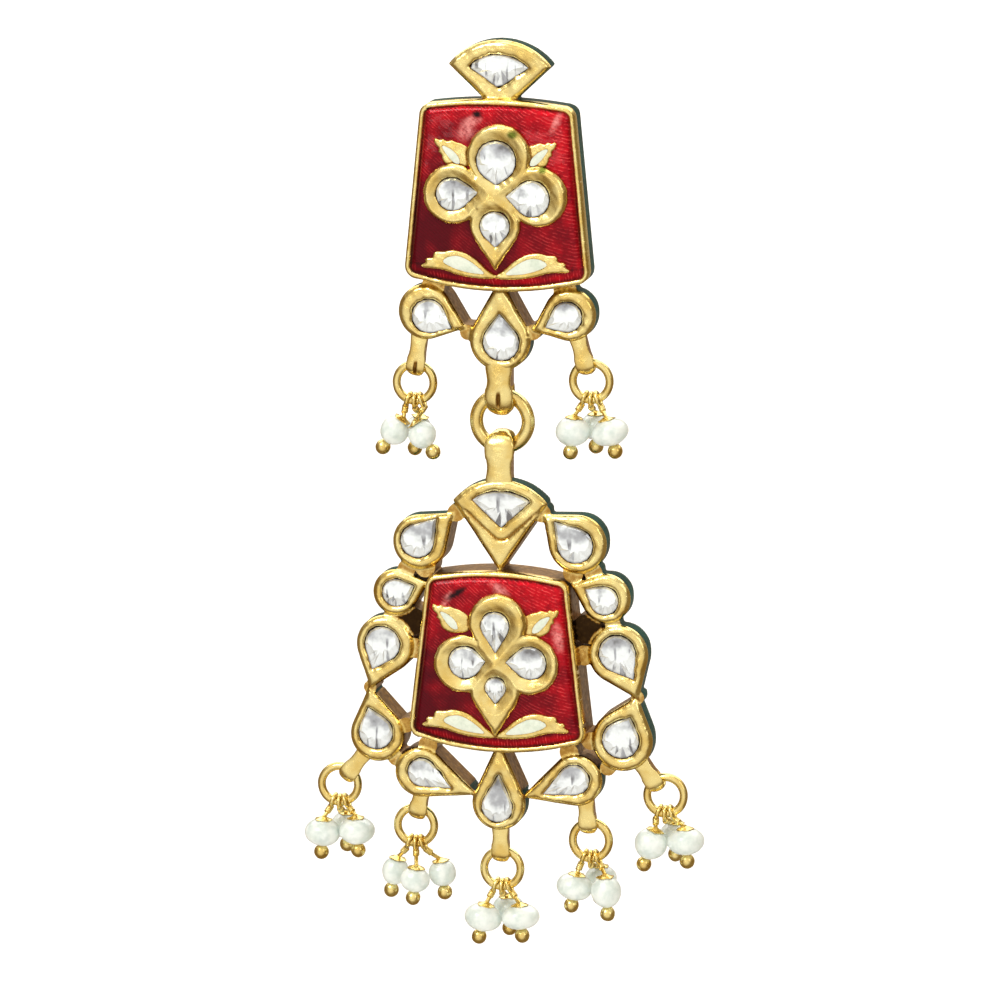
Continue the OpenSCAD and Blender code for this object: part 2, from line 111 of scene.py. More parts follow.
def nearest(outlines: Iterable[Field], points: Array) -> Array:
    """Signed distance from the nearest of several outlines."""
    return np.min([outline(points) for outline in outlines], axis=0)


def unit(values: Array) -> Array:
    """Values cut off at 0 and 1."""
    return np.clip(values, 0, 1)


def outside(distances: Array) -> Array:
    """Signed distances with 0 for the inside."""
    return np.clip(distances, 0, None)


def smooth_step(values: Array) -> Array:
    """Carries 0 to 1 over to 0 to 1 with flat ends."""
    t = unit(values)
    return t * t * (3 - 2 * t)


def ridge(values: Array, width: float) -> Array:
    """A soft ridge along a field's zero line: 1 on it, and nearly 0 two widths away."""
    return np.exp(-((values / width) ** 2))


def squared(values: Array, power: float) -> Array:
    """Cosines or sines raised to a power with their sign kept, which squares a circle off."""
    return np.sign(values) * np.abs(values) ** power


def turns(count: int) -> Array:
    """Even angles round a full turn."""
    return np.linspace(0, 2 * math.pi, count, endpoint=False)


def plane(height: float) -> Field:
    """A field with one height all over."""
    return lambda points: np.full(len(points), height)


def raised(points: Array, height: Array | float) -> Array:
    """Corners in space from flat points and their heights."""
    return np.column_stack([points[:, 0], np.broadcast_to(-height, len(points)), points[:, 1]])


def boxed(points: Array, margin: float = 0.0) -> Box:
    """The flat box of points, grown by a margin."""
    return (*(points.min(axis=0) - margin), *(points.max(axis=0) + margin))


class Ripple:
    """A gentle unevenness of a hand-made surface: a few crossing waves from a fixed seed."""

    # The number of waves
    count = 7

    def __init__(self, seed: int, length: float) -> None:
        """Draws the waves.

        Args:
            seed: The seed of the draw.
            length: The mean wave length.
        """
        draw = np.random.default_rng(seed)
        angles = draw.uniform(0, math.pi, self.count)
        rates = 2 * math.pi / (length * draw.uniform(0.6, 1.6, self.count))
        self.waves = np.stack([np.cos(angles) * rates, np.sin(angles) * rates])
        self.phases = draw.uniform(0, 2 * math.pi, self.count)

    def __call__(self, points: Array) -> Array:
        """The unevenness at flat points, mostly between -1 and 1."""
        return np.sin(points @ self.waves + self.phases).sum(axis=1) / math.sqrt(self.count)


@dataclass(frozen=True)
class Round:
    """A round blob of solder or a petal's lobe."""

    x: float
    z: float
    radius: float

    def __call__(self, points: Array) -> Array:
        """Signed distance from the outline, negative inside."""
        return np.hypot(points[:, 0] - self.x, points[:, 1] - self.z) - self.radius


@dataclass(frozen=True)
class Pear:
    """A circle drawn out to a tip."""

    x: float
    z: float
    radius: float
    tip_x: float
    tip_z: float

    def __call__(self, points: Array) -> Array:
        """Signed distance from the outline, negative inside.

        Args:
            points: The flat points.

        Returns:
            The distances.
        """
        reach = math.hypot(self.tip_x - self.x, self.tip_z - self.z)
        along = np.array([self.tip_x - self.x, self.tip_z - self.z]) / reach
        offset = points - (self.x, self.z)
        run = offset @ along
        side = np.abs(offset @ np.array([-along[1], along[0]]))
        cosine = self.radius / reach
        sine = math.sqrt(1 - cosine * cosine)
        forth = run * sine - side * cosine
        flank = run * cosine + side * sine - self.radius
        beyond = np.hypot(run - reach, side)
        ball = np.hypot(run, side) - self.radius
        return np.where(forth < 0, ball, np.where(forth > reach * sine, beyond, flank))

    def outline(self, count: int) -> Array:
        """Points along the outline.

        Args:
            count: The number of points round the circle's part.

        Returns:
            The points from the tip round, anticlockwise.
        """
        reach = math.hypot(self.tip_x - self.x, self.tip_z - self.z)
        turn = math.atan2(self.tip_z - self.z, self.tip_x - self.x)
        spread = math.acos(self.radius / reach)
        angles = turn + np.linspace(spread, 2 * math.pi - spread, count)
        ring = self.radius * np.stack([np.cos(angles), np.sin(angles)], axis=1) + (self.x, self.z)
        return np.vstack([[(self.tip_x, self.tip_z)], ring])


class Polygon:
    """A closed outline through given corners."""

    def __init__(self, corners: Iterable[Row]) -> None:
        """Keeps the corners, which are flat points in order."""
        self.corners = np.array(list(corners), float)

    def __call__(self, points: Array) -> Array:
        """Signed distance from the outline, negative inside.

        Args:
            points: The flat points.

        Returns:
            The distances.
        """
        best = np.full(len(points), np.inf)
        inside = np.zeros(len(points), bool)
        for a, b in zip(self.corners, np.roll(self.corners, -1, axis=0)):
            edge = b - a
            offset = points - a
            share = np.clip(offset @ edge / (edge @ edge), 0, 1)
            away = offset - share[:, None] * edge
            best = np.minimum(best, (away * away).sum(axis=1))
            if a[1] != b[1]:
                spans = (a[1] > points[:, 1]) != (b[1] > points[:, 1])
                inside ^= spans & (offset[:, 0] < edge[0] * offset[:, 1] / edge[1])
        return np.where(inside, -1, 1) * np.sqrt(best)


@dataclass(frozen=True)
class Fan:
    """An arc on top and two straight sides down to a point."""

    middle: float
    half_width: float
    tip_z: float
    arc_z: float
    point_z: float

    def outline(self, steps: int) -> Array:
        """Points along the outline.

        Args:
            steps: The number of steps along the arc.

        Returns:
            The points from the right tip over the arc and down to the point, anticlockwise.
        """
        rise = self.arc_z - self.tip_z
        radius = (self.half_width**2 + rise**2) / (2 * rise)
        half = math.asin(self.half_width / radius)
        angles = np.linspace(half, -half, steps + 1)
        x = self.middle + radius * np.sin(angles)
        z = self.arc_z - radius + radius * np.cos(angles)
        return np.vstack([np.stack([x, z], axis=1), [(self.middle, self.point_z)]])

    def centre(self) -> tuple[float, float]:
        """About the middle of its area."""
        return self.middle, (2 * self.arc_z + self.point_z) / 3


@dataclass(frozen=True)
class Plaque:
    """A plaque's outline: wider below, with round corners and bulged top and bottom."""

    top_half: float
    low_half: float
    top_z: float
    low_z: float
    top_bulge: float
    low_bulge: float
    corner: float = 1.0
    corner_steps: int = 7
    bulge_steps: int = 14

    def outline(self) -> Array:
        """Points along the outline.

        Returns:
            The points from the upper right corner, anticlockwise.
        """
        top = self.top_half - self.corner
        low = self.low_half - self.corner
        upper = self.top_z - self.corner
        lower = self.low_z + self.corner
        points: list[tuple[float, float]] = []

        def bend(x: float, z: float, start: float) -> None:
            """Adds a corner about (x, z) from the start angle on."""
            for angle in np.linspace(start, start + math.pi / 2, self.corner_steps + 1):
                points.append((x + self.corner * math.cos(angle), z + self.corner * math.sin(angle)))

        def bulge(half: float, z: float, rise: float, way: int) -> None:
            """Adds a bulged edge between two corners."""
            for share in way * (1 - 2 * np.arange(1, self.bulge_steps) / self.bulge_steps):
                points.append((half * share, z + rise * (1 - share * share)))

        bend(top, upper, 0)
        bulge(top, self.top_z, self.top_bulge, 1)
        bend(-top, upper, math.pi / 2)
        bend(-low, lower, math.pi)
        bulge(low, self.low_z, -self.low_bulge, -1)
        bend(low, lower, 3 * math.pi / 2)
        return np.array(points)


def flowing(corners: Sequence[Row]) -> Array:
    """A closed curve that flows through given points.

    Args:
        corners: The points, in order.

    Returns:
        The points of the curve.
    """
    given = np.array(corners, float)
    before, after, next_one = (np.roll(given, k, axis=0) for k in (1, -1, -2))
    points = []
    for t in np.linspace(0, 1, FLOW_STEPS, endpoint=False):
        pull = 2 * given + (after - before) * t + (2 * before - 5 * given + 4 * after - next_one) * t**2
        points.append(0.5 * (pull + (3 * given - before - 3 * after + next_one) * t**3))
    return np.stack(points, axis=1).reshape(-1, 2)


def pair(corners: Sequence[Row], shift: tuple[float, float]) -> list[Polygon]:
    """A leaf on the left, moved by a shift in x and z, and its mirror image on the right."""
    left = flowing(corners) + (shift[0], shift[1])
    return [Polygon(left), Polygon(left * (-1, 1))]


@dataclass
class Shell:
    """A mesh in the making: corners, faces and how deep in a hollow each corner lies."""

    corners: Array
    faces: list[tuple[int, ...]]
    hollow: Array | None = None
    extras: dict[str, Array] = field(default_factory=dict)
    facet_light: Array | None = None

    @classmethod
    def taken(cls, piece: Thing) -> "Shell":
        """A shell with a mesh object's corners and faces.

        Args:
            piece: The object, which is removed.

        Returns:
            The shell.
        """
        mesh = piece.data
        corners = np.array([v.co for v in mesh.vertices]) / MM
        faces = [tuple(p.vertices) for p in mesh.polygons]
        bpy.data.objects.remove(piece)
        bpy.data.meshes.remove(mesh)
        return cls(corners, faces)

    def joined(self, *others: "Shell") -> "Shell":
        """This shell and others as one.

        Args:
            others: The shells to add.

        Returns:
            The joined shell, with the extra values left out.
        """
        shells = (self, *others)
        faces: list[tuple[int, ...]] = []
        count = 0
        for shell in shells:
            faces.extend(tuple(i + count for i in face) for face in shell.faces)
            count += len(shell.corners)
        hollow = None
        if any(shell.hollow is not None for shell in shells):
            hollow = np.concatenate([shell.depths() for shell in shells])
        return Shell(np.vstack([shell.corners for shell in shells]), faces, hollow)

    def depths(self) -> Array:
        """The hollow values, which are 0 where none are given."""
        return np.zeros(len(self.corners)) if self.hollow is None else self.hollow

    def to_object(self, name: str, material: Material, sharp: float = 50.0) -> Thing:
        """Makes the shell a mesh object in metres.

        Args:
            name: The object's name.
            material: The object's material.
            sharp: The angle in degrees past which an edge stays sharp. At 0 every facet is flat.

        Returns:
            The object, linked to the scene.
        """
        mesh = bpy.data.meshes.new(name)
        mesh.from_pydata((self.corners * MM).tolist(), [], self.faces)
        values = {key: ("POINT", data) for key, data in self.extras.items()}
        if self.hollow is not None:
            values["hollow"] = ("POINT", self.hollow)
        if self.facet_light is not None:
            values["tone"] = ("FACE", self.facet_light)
        for key, (domain, data) in values.items():
            mesh.attributes.new(key, "FLOAT", domain).data.foreach_set("value", np.asarray(data, np.float32))
        mesh.update()
        if sharp:
            mesh.shade_smooth()
            mesh.set_sharp_from_angle(angle=math.radians(sharp))
        mesh.materials.append(material)
        return placed(name, mesh)


def placed(name: str, data: bpy.types.ID) -> Thing:
    """A new object in the scene.

    Args:
        name: The object's name.
        data: Its mesh, lamp or camera.

    Returns:
        The object.
    """
    made = bpy.data.objects.new(name, data)
    bpy.context.scene.collection.objects.link(made)
    return made


class Sheet:
    """A closed shell with a worked front: its height is a field, and its corners follow features."""

    # The distance between corners where a sheet is plain, and the least one between two rows
    calm_fill = 0.6
    row_gap = 0.022

    def __init__(self, outline: Field, box: Box) -> None:
        """Starts a sheet.

        Args:
            outline: Signed distance from the sheet's outline, negative inside.
            box: Its flat box.
        """
        self.outline = outline
        self.box = box
        self.rows: list[Array] = []
        self.follow(outline, [0.0], step=0.08)

    def follow(self, feature: Field, levels: Iterable[float], step: float) -> None:
        """Lays rows of corners along the lines where a feature's field takes given levels.

        Args:
            feature: The field.
            levels: The levels.
            step: The least distance between two corners of a row.
        """
        x0, z0, x1, z1 = self.box
        xs = np.arange(x0 - 0.3, x1 + 0.3, step * 1.3)
        zs = np.arange(z0 - 0.3, z1 + 0.3, step * 1.3)
        grid = np.stack(np.meshgrid(xs, zs, indexing="ij"), axis=-1)
        values = feature(grid.reshape(-1, 2)).reshape(len(xs), len(zs))
        for level in levels:
            found = []
            for start, end in ((np.s_[:-1], np.s_[1:]), (np.s_[:, :-1], np.s_[:, 1:])):
                near, far = values[start], values[end]
                hit = (near > level) != (far > level)
                share = ((level - near[hit]) / (far[hit] - near[hit]))[:, None]
                found.append(grid[start][hit] * (1 - share) + grid[end][hit] * share)
            points = np.vstack(found)
            for _ in range(3):
                points = self.pulled(feature, points, level)
            if self.rows:
                points = points[self.outline(points) < -0.03]
            self.rows.append(thinned(points, step))

    @staticmethod
    def pulled(feature: Field, points: Array, level: float) -> Array:
        """Moves points onto a level of a field by one Newton step.

        Args:
            feature: The field.
            points: The points.
            level: The level.

        Returns:
            The moved points.
        """
        reach = 0.004
        shifts = np.array([[reach, 0], [0, reach]])
        slope = np.stack([(feature(points + s) - feature(points - s)) / (2 * reach) for s in shifts], axis=1)
        steep = np.maximum((slope * slope).sum(axis=1), 0.2)
        move = ((level - feature(points)) / steep)[:, None] * slope
        return points + np.clip(move, -0.1, 0.1)

    def triangles(self, fill: float, calm: Field | None) -> tuple[Array, Array]:
        """The flat triangles of the sheet.

        Args:
            fill: The distance between corners away from the rows.
            calm: A field that is negative where the sheet is plain, or None.

        Returns:
            The flat points and the triangles.
        """
        x0, z0, x1, z1 = self.box
        loose = []
        fills = [(fill, False)] if calm is None else [(fill, False), (self.calm_fill, True)]
        for step, wants_calm in fills:
            xs, zs = np.meshgrid(np.arange(x0, x1, step), np.arange(z0, z1, step * 0.866), indexing="ij")
            xs = xs + step / 2 * (np.arange(zs.shape[1]) % 2)
            points = np.stack([xs.ravel(), zs.ravel()], axis=1)
            keep = self.outline(points) < -0.5 * step
            if calm is not None:
                keep &= (calm(points) < 0) == wants_calm
            loose.append(points[keep])
        rows = thinned(np.vstack(self.rows), self.row_gap)
        points = thinned(np.vstack([rows, *loose]), fill * 0.62, len(rows))
        flat, _, faces, *_ = delaunay_2d_cdt([Vector(p) for p in points], [], [], 0, 1e-6, False)
        flat = np.array([(p[0], p[1]) for p in flat])
        faces = np.array(faces)
        kept = self.outline(flat[faces].mean(axis=1)) < 0
        faces = faces[kept]
        a, b, c = (flat[faces[:, i]] for i in range(3))
        turned = (b[:, 0] - a[:, 0]) * (c[:, 1] - a[:, 1]) - (b[:, 1] - a[:, 1]) * (c[:, 0] - a[:, 0]) < 0
        faces[turned] = faces[turned][:, ::-1]
        return flat, faces

    def shell(
        self,
        height: Field,
        back: Field,
        fill: float,
        hollow: Field | None = None,
        extras: dict[str, Field] | None = None,
        calm: Field | None = None,
        rear_hollow: Field | None = None,
    ) -> Shell:
        """The closed shell of the sheet.

        Args:
            height: The front's height.
            back: The back's height.
            fill: The distance between corners away from the rows.
            hollow: How deep in a hollow a point lies, from 0 to 1, or None.
            extras: More values for the corners, by name.
            calm: A field that is negative where the sheet is plain, or None.
            rear_hollow: How deep in a hollow the sheet's back lies at least, or None.

        Returns:
            The shell.
        """
        flat, faces = self.triangles(fill, calm)
        count = len(flat)
        front, rear = raised(flat, height(flat)), raised(flat, back(flat))
        edges = np.vstack([faces[:, [0, 1]], faces[:, [1, 2]], faces[:, [2, 0]]])
        keys = edges[:, 0] * count + edges[:, 1]
        rim = edges[~np.isin(keys, edges[:, 1] * count + edges[:, 0])]
        walls = np.column_stack([rim[:, 1], rim[:, 0], rim[:, 0] + count, rim[:, 1] + count])
        everything = [tuple(f) for part in (faces, faces[:, ::-1] + count, walls) for f in part.tolist()]
        values = {key: np.tile(value(flat), 2) for key, value in (extras or {}).items()}
        depth = None
        if hollow is not None:
            near = unit(hollow(flat))
            far = near if rear_hollow is None else np.maximum(near, rear_hollow(flat))
            depth = np.concatenate([near, far])
        used = np.zeros(2 * count, bool)
        used[np.concatenate([faces.ravel(), faces.ravel() + count])] = True
        if not used.all():
            place = np.cumsum(used) - 1
            everything = [tuple(int(place[i]) for i in f) for f in everything]
            values = {key: value[used] for key, value in values.items()}
            depth = None if depth is None else depth[used]
        return Shell(np.vstack([front, rear])[used], everything, depth, values)


# Leaf outlines on the left, from the flower's middle
UPPER_LEAF = [
    (-1.9, 2.2), (-3.2, 1.95), (-3.95, 2.25), (-4.2, 2.62), (-4.26, 2.92), (-4.5, 3.12), (-4.46, 3.4),
    (-4.7, 3.62), (-4.84, 4.0), (-4.7, 4.2), (-4.4, 4.08), (-4.1, 4.16), (-3.85, 4.0), (-3.45, 4.08),
    (-3.05, 3.93), (-2.55, 3.78), (-1.9, 3.3),
]
UPPER_KERNEL = [(-2.76, 2.34), (-3.15, 2.32), (-3.7, 2.82), (-4.18, 3.62), (-3.55, 3.44), (-2.95, 2.92)]
LOWER_LEAF = [
    (0.12, -6.45), (-0.6, -5.95), (-1.5, -5.15), (-2.4, -4.64), (-3.35, -4.46), (-4.1, -4.6), (-4.7, -4.62),
    (-4.92, -4.85), (-4.98, -5.1), (-5.4, -5.14), (-5.56, -5.34), (-5.5, -5.5), (-5.86, -5.72),
    (-5.7, -5.92), (-5.1, -5.95), (-4.1, -6.05), (-3.0, -6.38), (-1.75, -6.58), (-0.5, -6.62),
]
LOWER_KERNEL = [
    (-4.1, -5.35), (-3.6, -4.98), (-2.9, -4.9), (-2.2, -5.15), (-1.5, -5.6), (-0.85, -6.2), (-1.7, -6.2),
    (-2.6, -6.05), (-3.5, -5.75),
]


def thinned(points: Array, step: float, kept: int = 0) -> Array:
    """Drops each point that lies nearer than a step to one before it.

    Args:
        points: The points, in the order of their weight.
        step: The least distance.
        kept: How many of the first points stay whatever their distance.

    Returns:
        The points that stay.
    """
    cells: dict[tuple[int, int], list[tuple[float, float]]] = {}
    stay = []
    near = step * step
    for n, (x, z) in enumerate(points.tolist()):
        i, j = int(x // step), int(z // step)
        free = n < kept or not any(
            (x - a) ** 2 + (z - b) ** 2 < near
            for di in (-1, 0, 1)
            for dj in (-1, 0, 1)
            for a, b in cells.get((i + di, j + dj), ())
        )
        if free:
            cells.setdefault((i, j), []).append((x, z))
            stay.append(n)
    return points[stay]


Colour = tuple[float, float, float]
Inputs = dict[str | int, object]


class Tree:
    """A node tree under construction, with short calls."""

    def __init__(self, tree: bpy.types.NodeTree) -> None:
        """Keeps the shader, world or geometry tree."""
        self.tree = tree
        self.place: Socket | None = None

    def feed(self, node: bpy.types.Node, inputs: Inputs) -> bpy.types.Node:
        """Sets or links a node's inputs.

        Args:
            node: The node.
            inputs: A value, or a socket to link, for each input by name or number.

        Returns:
            The node.
        """
        for key, value in inputs.items():
            if isinstance(value, Socket):
                self.tree.links.new(value, node.inputs[key])
            else:
                node.inputs[key].default_value = value
        return node

    def add(self, kind: str, inputs: Inputs | None = None, **settings: object) -> bpy.types.Node:
        """Adds a node.

        Args:
            kind: The node's type.
            inputs: A value, or a socket to link, for each input by name or number.
            settings: Values for the node's own properties.

        Returns:
            The node.
        """
        node = self.tree.nodes.new(kind)
        for key, value in settings.items():
            setattr(node, key, value)
        return self.feed(node, inputs or {})

    def math(self, operation: str, *values: object) -> Socket:
        """A Math node's result for given values or sockets."""
        return self.add("ShaderNodeMath", dict(enumerate(values)), operation=operation).outputs[0]

    def total(self, *terms: tuple[Socket, float]) -> Socket:
        """The sum of sockets, each with its weight."""
        parts = [part if weight == 1 else self.math("MULTIPLY", part, weight) for part, weight in terms]
        return reduce(lambda a, b: self.math("ADD", a, b), parts)

    def attribute(self, name: str) -> Socket:
        """A named value of the surface."""
        return self.add("ShaderNodeAttribute", attribute_name=name).outputs["Fac"]

    def mix(self, share: object, a: object, b: object) -> Socket:
        """A colour mixed from two, with a share of the second."""
        first, second = (opaque(colour) if isinstance(colour, tuple) else colour for colour in (a, b))
        return self.add("ShaderNodeMix", {0: share, 6: first, 7: second}, data_type="RGBA").outputs[2]

    def ramp(self, value: Socket, low: float, high: float, to_low: float = 0, to_high: float = 1) -> Socket:
        """Carries a value from one range over to another, with smooth ends."""
        inputs = {"Value": value, "From Min": low, "From Max": high, "To Min": to_low, "To Max": to_high}
        return self.add("ShaderNodeMapRange", inputs, interpolation_type="SMOOTHSTEP").outputs[0]

    def noise(self, scale: float, detail: float = 2, rough: float = 0.5, at: Socket | None = None) -> Socket:
        """A noise texture's value, at the material's own place unless another is given."""
        inputs = {"Vector": at or self.place, "Scale": scale, "Detail": detail, "Roughness": rough}
        return self.add("ShaderNodeTexNoise", inputs).outputs[0]

    def bump(self, height: Socket, strength: float) -> Socket:
        """The slopes of a height in millimetres."""
        inputs = {"Height": height, "Strength": strength, "Distance": MM}
        return self.add("ShaderNodeBump", inputs).outputs[0]


def opaque(colour: Colour) -> tuple[float, float, float, float]:
    """A colour with full alpha."""
    return (*colour, 1.0)


class Finish:
    """What the finishes share: a material with a Principled shader, and a place in millimetres."""

    name: str

    def sockets(self, tree: Tree) -> Inputs:
        """What each finish feeds the shader."""
        raise NotImplementedError

    def material(self) -> Material:
        """Builds the material, whose tree knows the place on the object in millimetres.

        Returns:
            The material.
        """
        material = bpy.data.materials.new(self.name)
        material.use_nodes = True
        tree = Tree(material.node_tree)
        place = tree.add("ShaderNodeTexCoord").outputs["Object"]
        tree.place = tree.add("ShaderNodeMapping", {"Vector": place, "Scale": (1 / MM,) * 3}).outputs[0]
        tree.feed(material.node_tree.nodes["Principled BSDF"], self.sockets(tree))
        return material


@dataclass(frozen=True)
class Gold(Finish):
    """Soft, hand-burnished yellow gold that is grimy and carries painted shade in its hollows."""

    name: str
    bright: Colour = (0.92, 0.78, 0.335)
    warm: Colour = (0.80, 0.585, 0.175)
    # Orange-brown, dark brown and near-black for the hollows, which stand for grimy gold and for painted
    # shade; the near-black is painted shade only
    tarnish_and_shade: Colour = (0.44, 0.225, 0.04)
    grime_and_shade: Colour = (0.10, 0.045, 0.008)
    deep_shade: Colour = (0.022, 0.012, 0.006)
    stain: Colour = (0.16, 0.19, 0.03)
    roughness: tuple[float, float] = (0.16, 0.3)
    dents: float = 1.0

    def sockets(self, tree: Tree) -> Inputs:
        """What the shader is fed.

        Args:
            tree: The material's tree.

        Returns:
            A value or a socket for each input of the shader.
        """
        patches = tree.ramp(tree.noise(0.55, 3.0, 0.55), 0.35, 0.7)
        hollow = tree.attribute("hollow")
        speck = tree.ramp(tree.noise(2.6, 4.0, 0.65), 0.25, 0.6, 0.62, 1.0)
        # The hollow value carries grimy spots and painted shade: of recesses, creases between parts, dark
        # spots and walls
        dirt_and_shade = tree.math("MULTIPLY", hollow, speck)
        colour = tree.mix(patches, self.bright, self.warm)
        colour = tree.mix(tree.ramp(dirt_and_shade, 0.0, 0.6), colour, self.tarnish_and_shade)
        colour = tree.mix(tree.ramp(dirt_and_shade, 0.35, 1.0), colour, self.grime_and_shade)
        colour = tree.mix(tree.ramp(hollow, 0.8, 1.0, 0.0, 0.9), colour, self.deep_shade)
        rub = tree.ramp(tree.noise(4.0, 4.0, 0.6), 0.3, 0.75, *self.roughness)
        strokes = {"Vector": tree.place, "Rotation": (0.3, 0.5, 0.2), "Scale": (3.0, 3.0, 30.0)}
        streaks = tree.add("ShaderNodeMapping", strokes).outputs[0]
        height = tree.total(
            (tree.noise(0.85, 1.0, 0.4), 0.06 * self.dents),
            (tree.noise(2.3), 0.024 * self.dents),
            (tree.noise(9.0, 3.0, 0.6), 0.003),
            (tree.noise(1.0, at=streaks), 0.003),
        )
        return {
            "Base Color": tree.mix(tree.attribute("stain"), colour, self.stain),
            "Metallic": 1.0,
            "Roughness": tree.total((rub, 1), (dirt_and_shade, 0.2)),
            "Normal": tree.bump(height, 1.0),
        }


@dataclass(frozen=True)
class RedEnamel(Finish):
    """Glossy translucent red enamel over engraved gold, with painted light and shade, painted glints on its
    strokes, spots of painted glare and a painted shadow along the rim.
    """

    name: str = "red_enamel"
    # Shaded and lit copies of the red, the painted glint of the strokes, the pink of painted glare, and the
    # dark of flaws and of the painted shadow at the rim
    deep: Colour = (0.085, 0.001, 0.006)
    bright: Colour = (0.53, 0.004, 0.013)
    spark: Colour = (0.95, 0.085, 0.09)
    glare_pink: Colour = (0.86, 0.30, 0.29)
    flaw_and_shadow: Colour = (0.012, 0.004, 0.006)

    def sockets(self, tree: Tree) -> Inputs:
        """What the shader is fed.

        Args:
            tree: The material's tree.

        Returns:
            A value or a socket for each input of the shader.
        """
        glow = tree.attribute("glow")
        drift = tree.noise(1.6, 3.0, 0.6)
        lines = tree.math("SINE", tree.total((tree.attribute("hatch"), 29.0), (drift, 7.0)))
        cloud = tree.ramp(tree.noise(0.9, 3.0, 0.6), 0.3, 0.7, 0.55, 1.25)
        broken = tree.ramp(tree.noise(2.4, 2.0, 0.6), 0.42, 0.62)
        glint = tree.math("MULTIPLY", tree.math("MULTIPLY", tree.ramp(lines, 0.2, 1.0), broken), glow)
        glare_cloud = tree.ramp(tree.noise(2.0, 3.0, 0.6), 0.35, 0.6, 0.2, 0.85)
        # Painted light and shade: lit and shaded copies of the red
        colour = tree.mix(tree.math("MULTIPLY", glow, cloud), self.deep, self.bright)
        colour = tree.mix(tree.math("MULTIPLY", glint, 0.7), colour, self.spark)
        # Painted glare: pale pink patches
        colour = tree.mix(tree.math("MULTIPLY", tree.attribute("painted_glare"), glare_cloud), colour, self.glare_pink)
        return {
            # Dark flaws and a painted shadow along the rim
            "Base Color": tree.mix(tree.attribute("flaw_and_shadow"), colour, self.flaw_and_shadow),
            "Metallic": 0.45,
            "Roughness": 0.34,
            "Specular IOR Level": 0.0,
            "Coat Weight": 0.5,
            "Coat Roughness": 0.06,
            "Coat IOR": 1.33,
            "Normal": tree.bump(tree.total((lines, 0.009), (drift, 0.11)), 0.9),
            "Coat Normal": tree.bump(tree.total((tree.noise(0.7), 0.05)), 0.8),
        }


@dataclass(frozen=True)
class GlossEnamel(Finish):
    """Opaque or deep glossy enamel with faint clouds."""

    name: str
    colour: Colour
    cloud: Colour
    grain: float = 1.3
    roughness: float = 0.28
    gloss: float = 1.0
    edge_gloss: float = 1.0

    def sockets(self, tree: Tree) -> Inputs:
        """What the shader is fed.

        Args:
            tree: The material's tree.

        Returns:
            A value or a socket for each input of the shader.
        """
        cloud = tree.ramp(tree.noise(self.grain, 4.0, 0.6), 0.35, 0.68)
        rub = tree.noise(4.0, 3.0, 0.6)
        height = tree.total((tree.noise(1.4, 3.0, 0.55), 0.06), (tree.noise(9.0), 0.004))
        coat: object = self.gloss
        if self.edge_gloss < self.gloss:
            coat = tree.ramp(tree.attribute("hollow"), 0.0, 1.0, self.gloss, self.edge_gloss)
        return {
            "Base Color": tree.mix(cloud, self.colour, self.cloud),
            "Roughness": tree.ramp(rub, 0.3, 0.7, self.roughness * 0.8, self.roughness * 1.3),
            "Specular IOR Level": 0.5 * self.edge_gloss,
            "Coat Weight": coat,
            "Coat Roughness": 0.05,
            "Normal": tree.bump(height, 0.8),
        }


@dataclass(frozen=True)
class FoiledDiamond(Finish):
    """A flat-cut diamond over silver foil under a clear face: its white, grey and dark facets are painted
    reflections, lighter towards the bottom, with a painted shadow at its edge.
    """

    name: str = "flat_cut_diamond"
    pale: Colour = (0.86, 0.94, 0.98)
    grey: Colour = (0.34, 0.37, 0.41)
    dark: Colour = (0.10, 0.105, 0.115)

    def sockets(self, tree: Tree) -> Inputs:
        """What the shader is fed.

        Args:
            tree: The material's tree.

        Returns:
            A value or a socket for each input of the shader.
        """
        up = tree.attribute("up")
        local = tree.add("ShaderNodeCombineXYZ", {0: tree.attribute("across"), 2: up}).outputs[0]
        mist = tree.math("SUBTRACT", tree.noise(0.95, 3.0, 0.55, local), 0.5)
        drawn = tree.add("ShaderNodeMapping", {"Vector": local, "Scale": (2.7, 1.0, 0.5)}).outputs[0]
        thin = tree.ramp(tree.noise(1.0, 1.5, 0.5, drawn), 0.57, 0.65)
        stroke = tree.math("MULTIPLY", thin, tree.ramp(up, 0.0, 0.45, 1.0, 0.0))
        # Painted light: lighter towards the bottom of the stone, on top of each facet's painted reflection
        lit = tree.ramp(up, -0.3, 0.9, 0.46, -0.1)
        light = tree.total((tree.attribute("tone"), 1), (lit, 1), (mist, 2.2), (stroke, -0.62))
        colour = tree.mix(tree.ramp(light, 0.25, 0.85), self.grey, self.pale)
        colour = tree.mix(tree.ramp(light, -0.1, 0.28, 1.0, 0.0), colour, self.dark)
        # A painted shadow at the stone's edge, under the bezel
        edge = tree.ramp(tree.attribute("hollow"), 0.78, 1.0, 0.0, 0.75)
        return {
            "Base Color": tree.mix(edge, colour, self.dark),
            "Metallic": 0.45,
            "Roughness": 0.22,
            "Coat Weight": 1.0,
            "Coat Roughness": 0.01,
            "Coat IOR": 1.9,
            "Normal": tree.bump(tree.total((tree.noise(1.7), 0.05)), 0.8),
        }


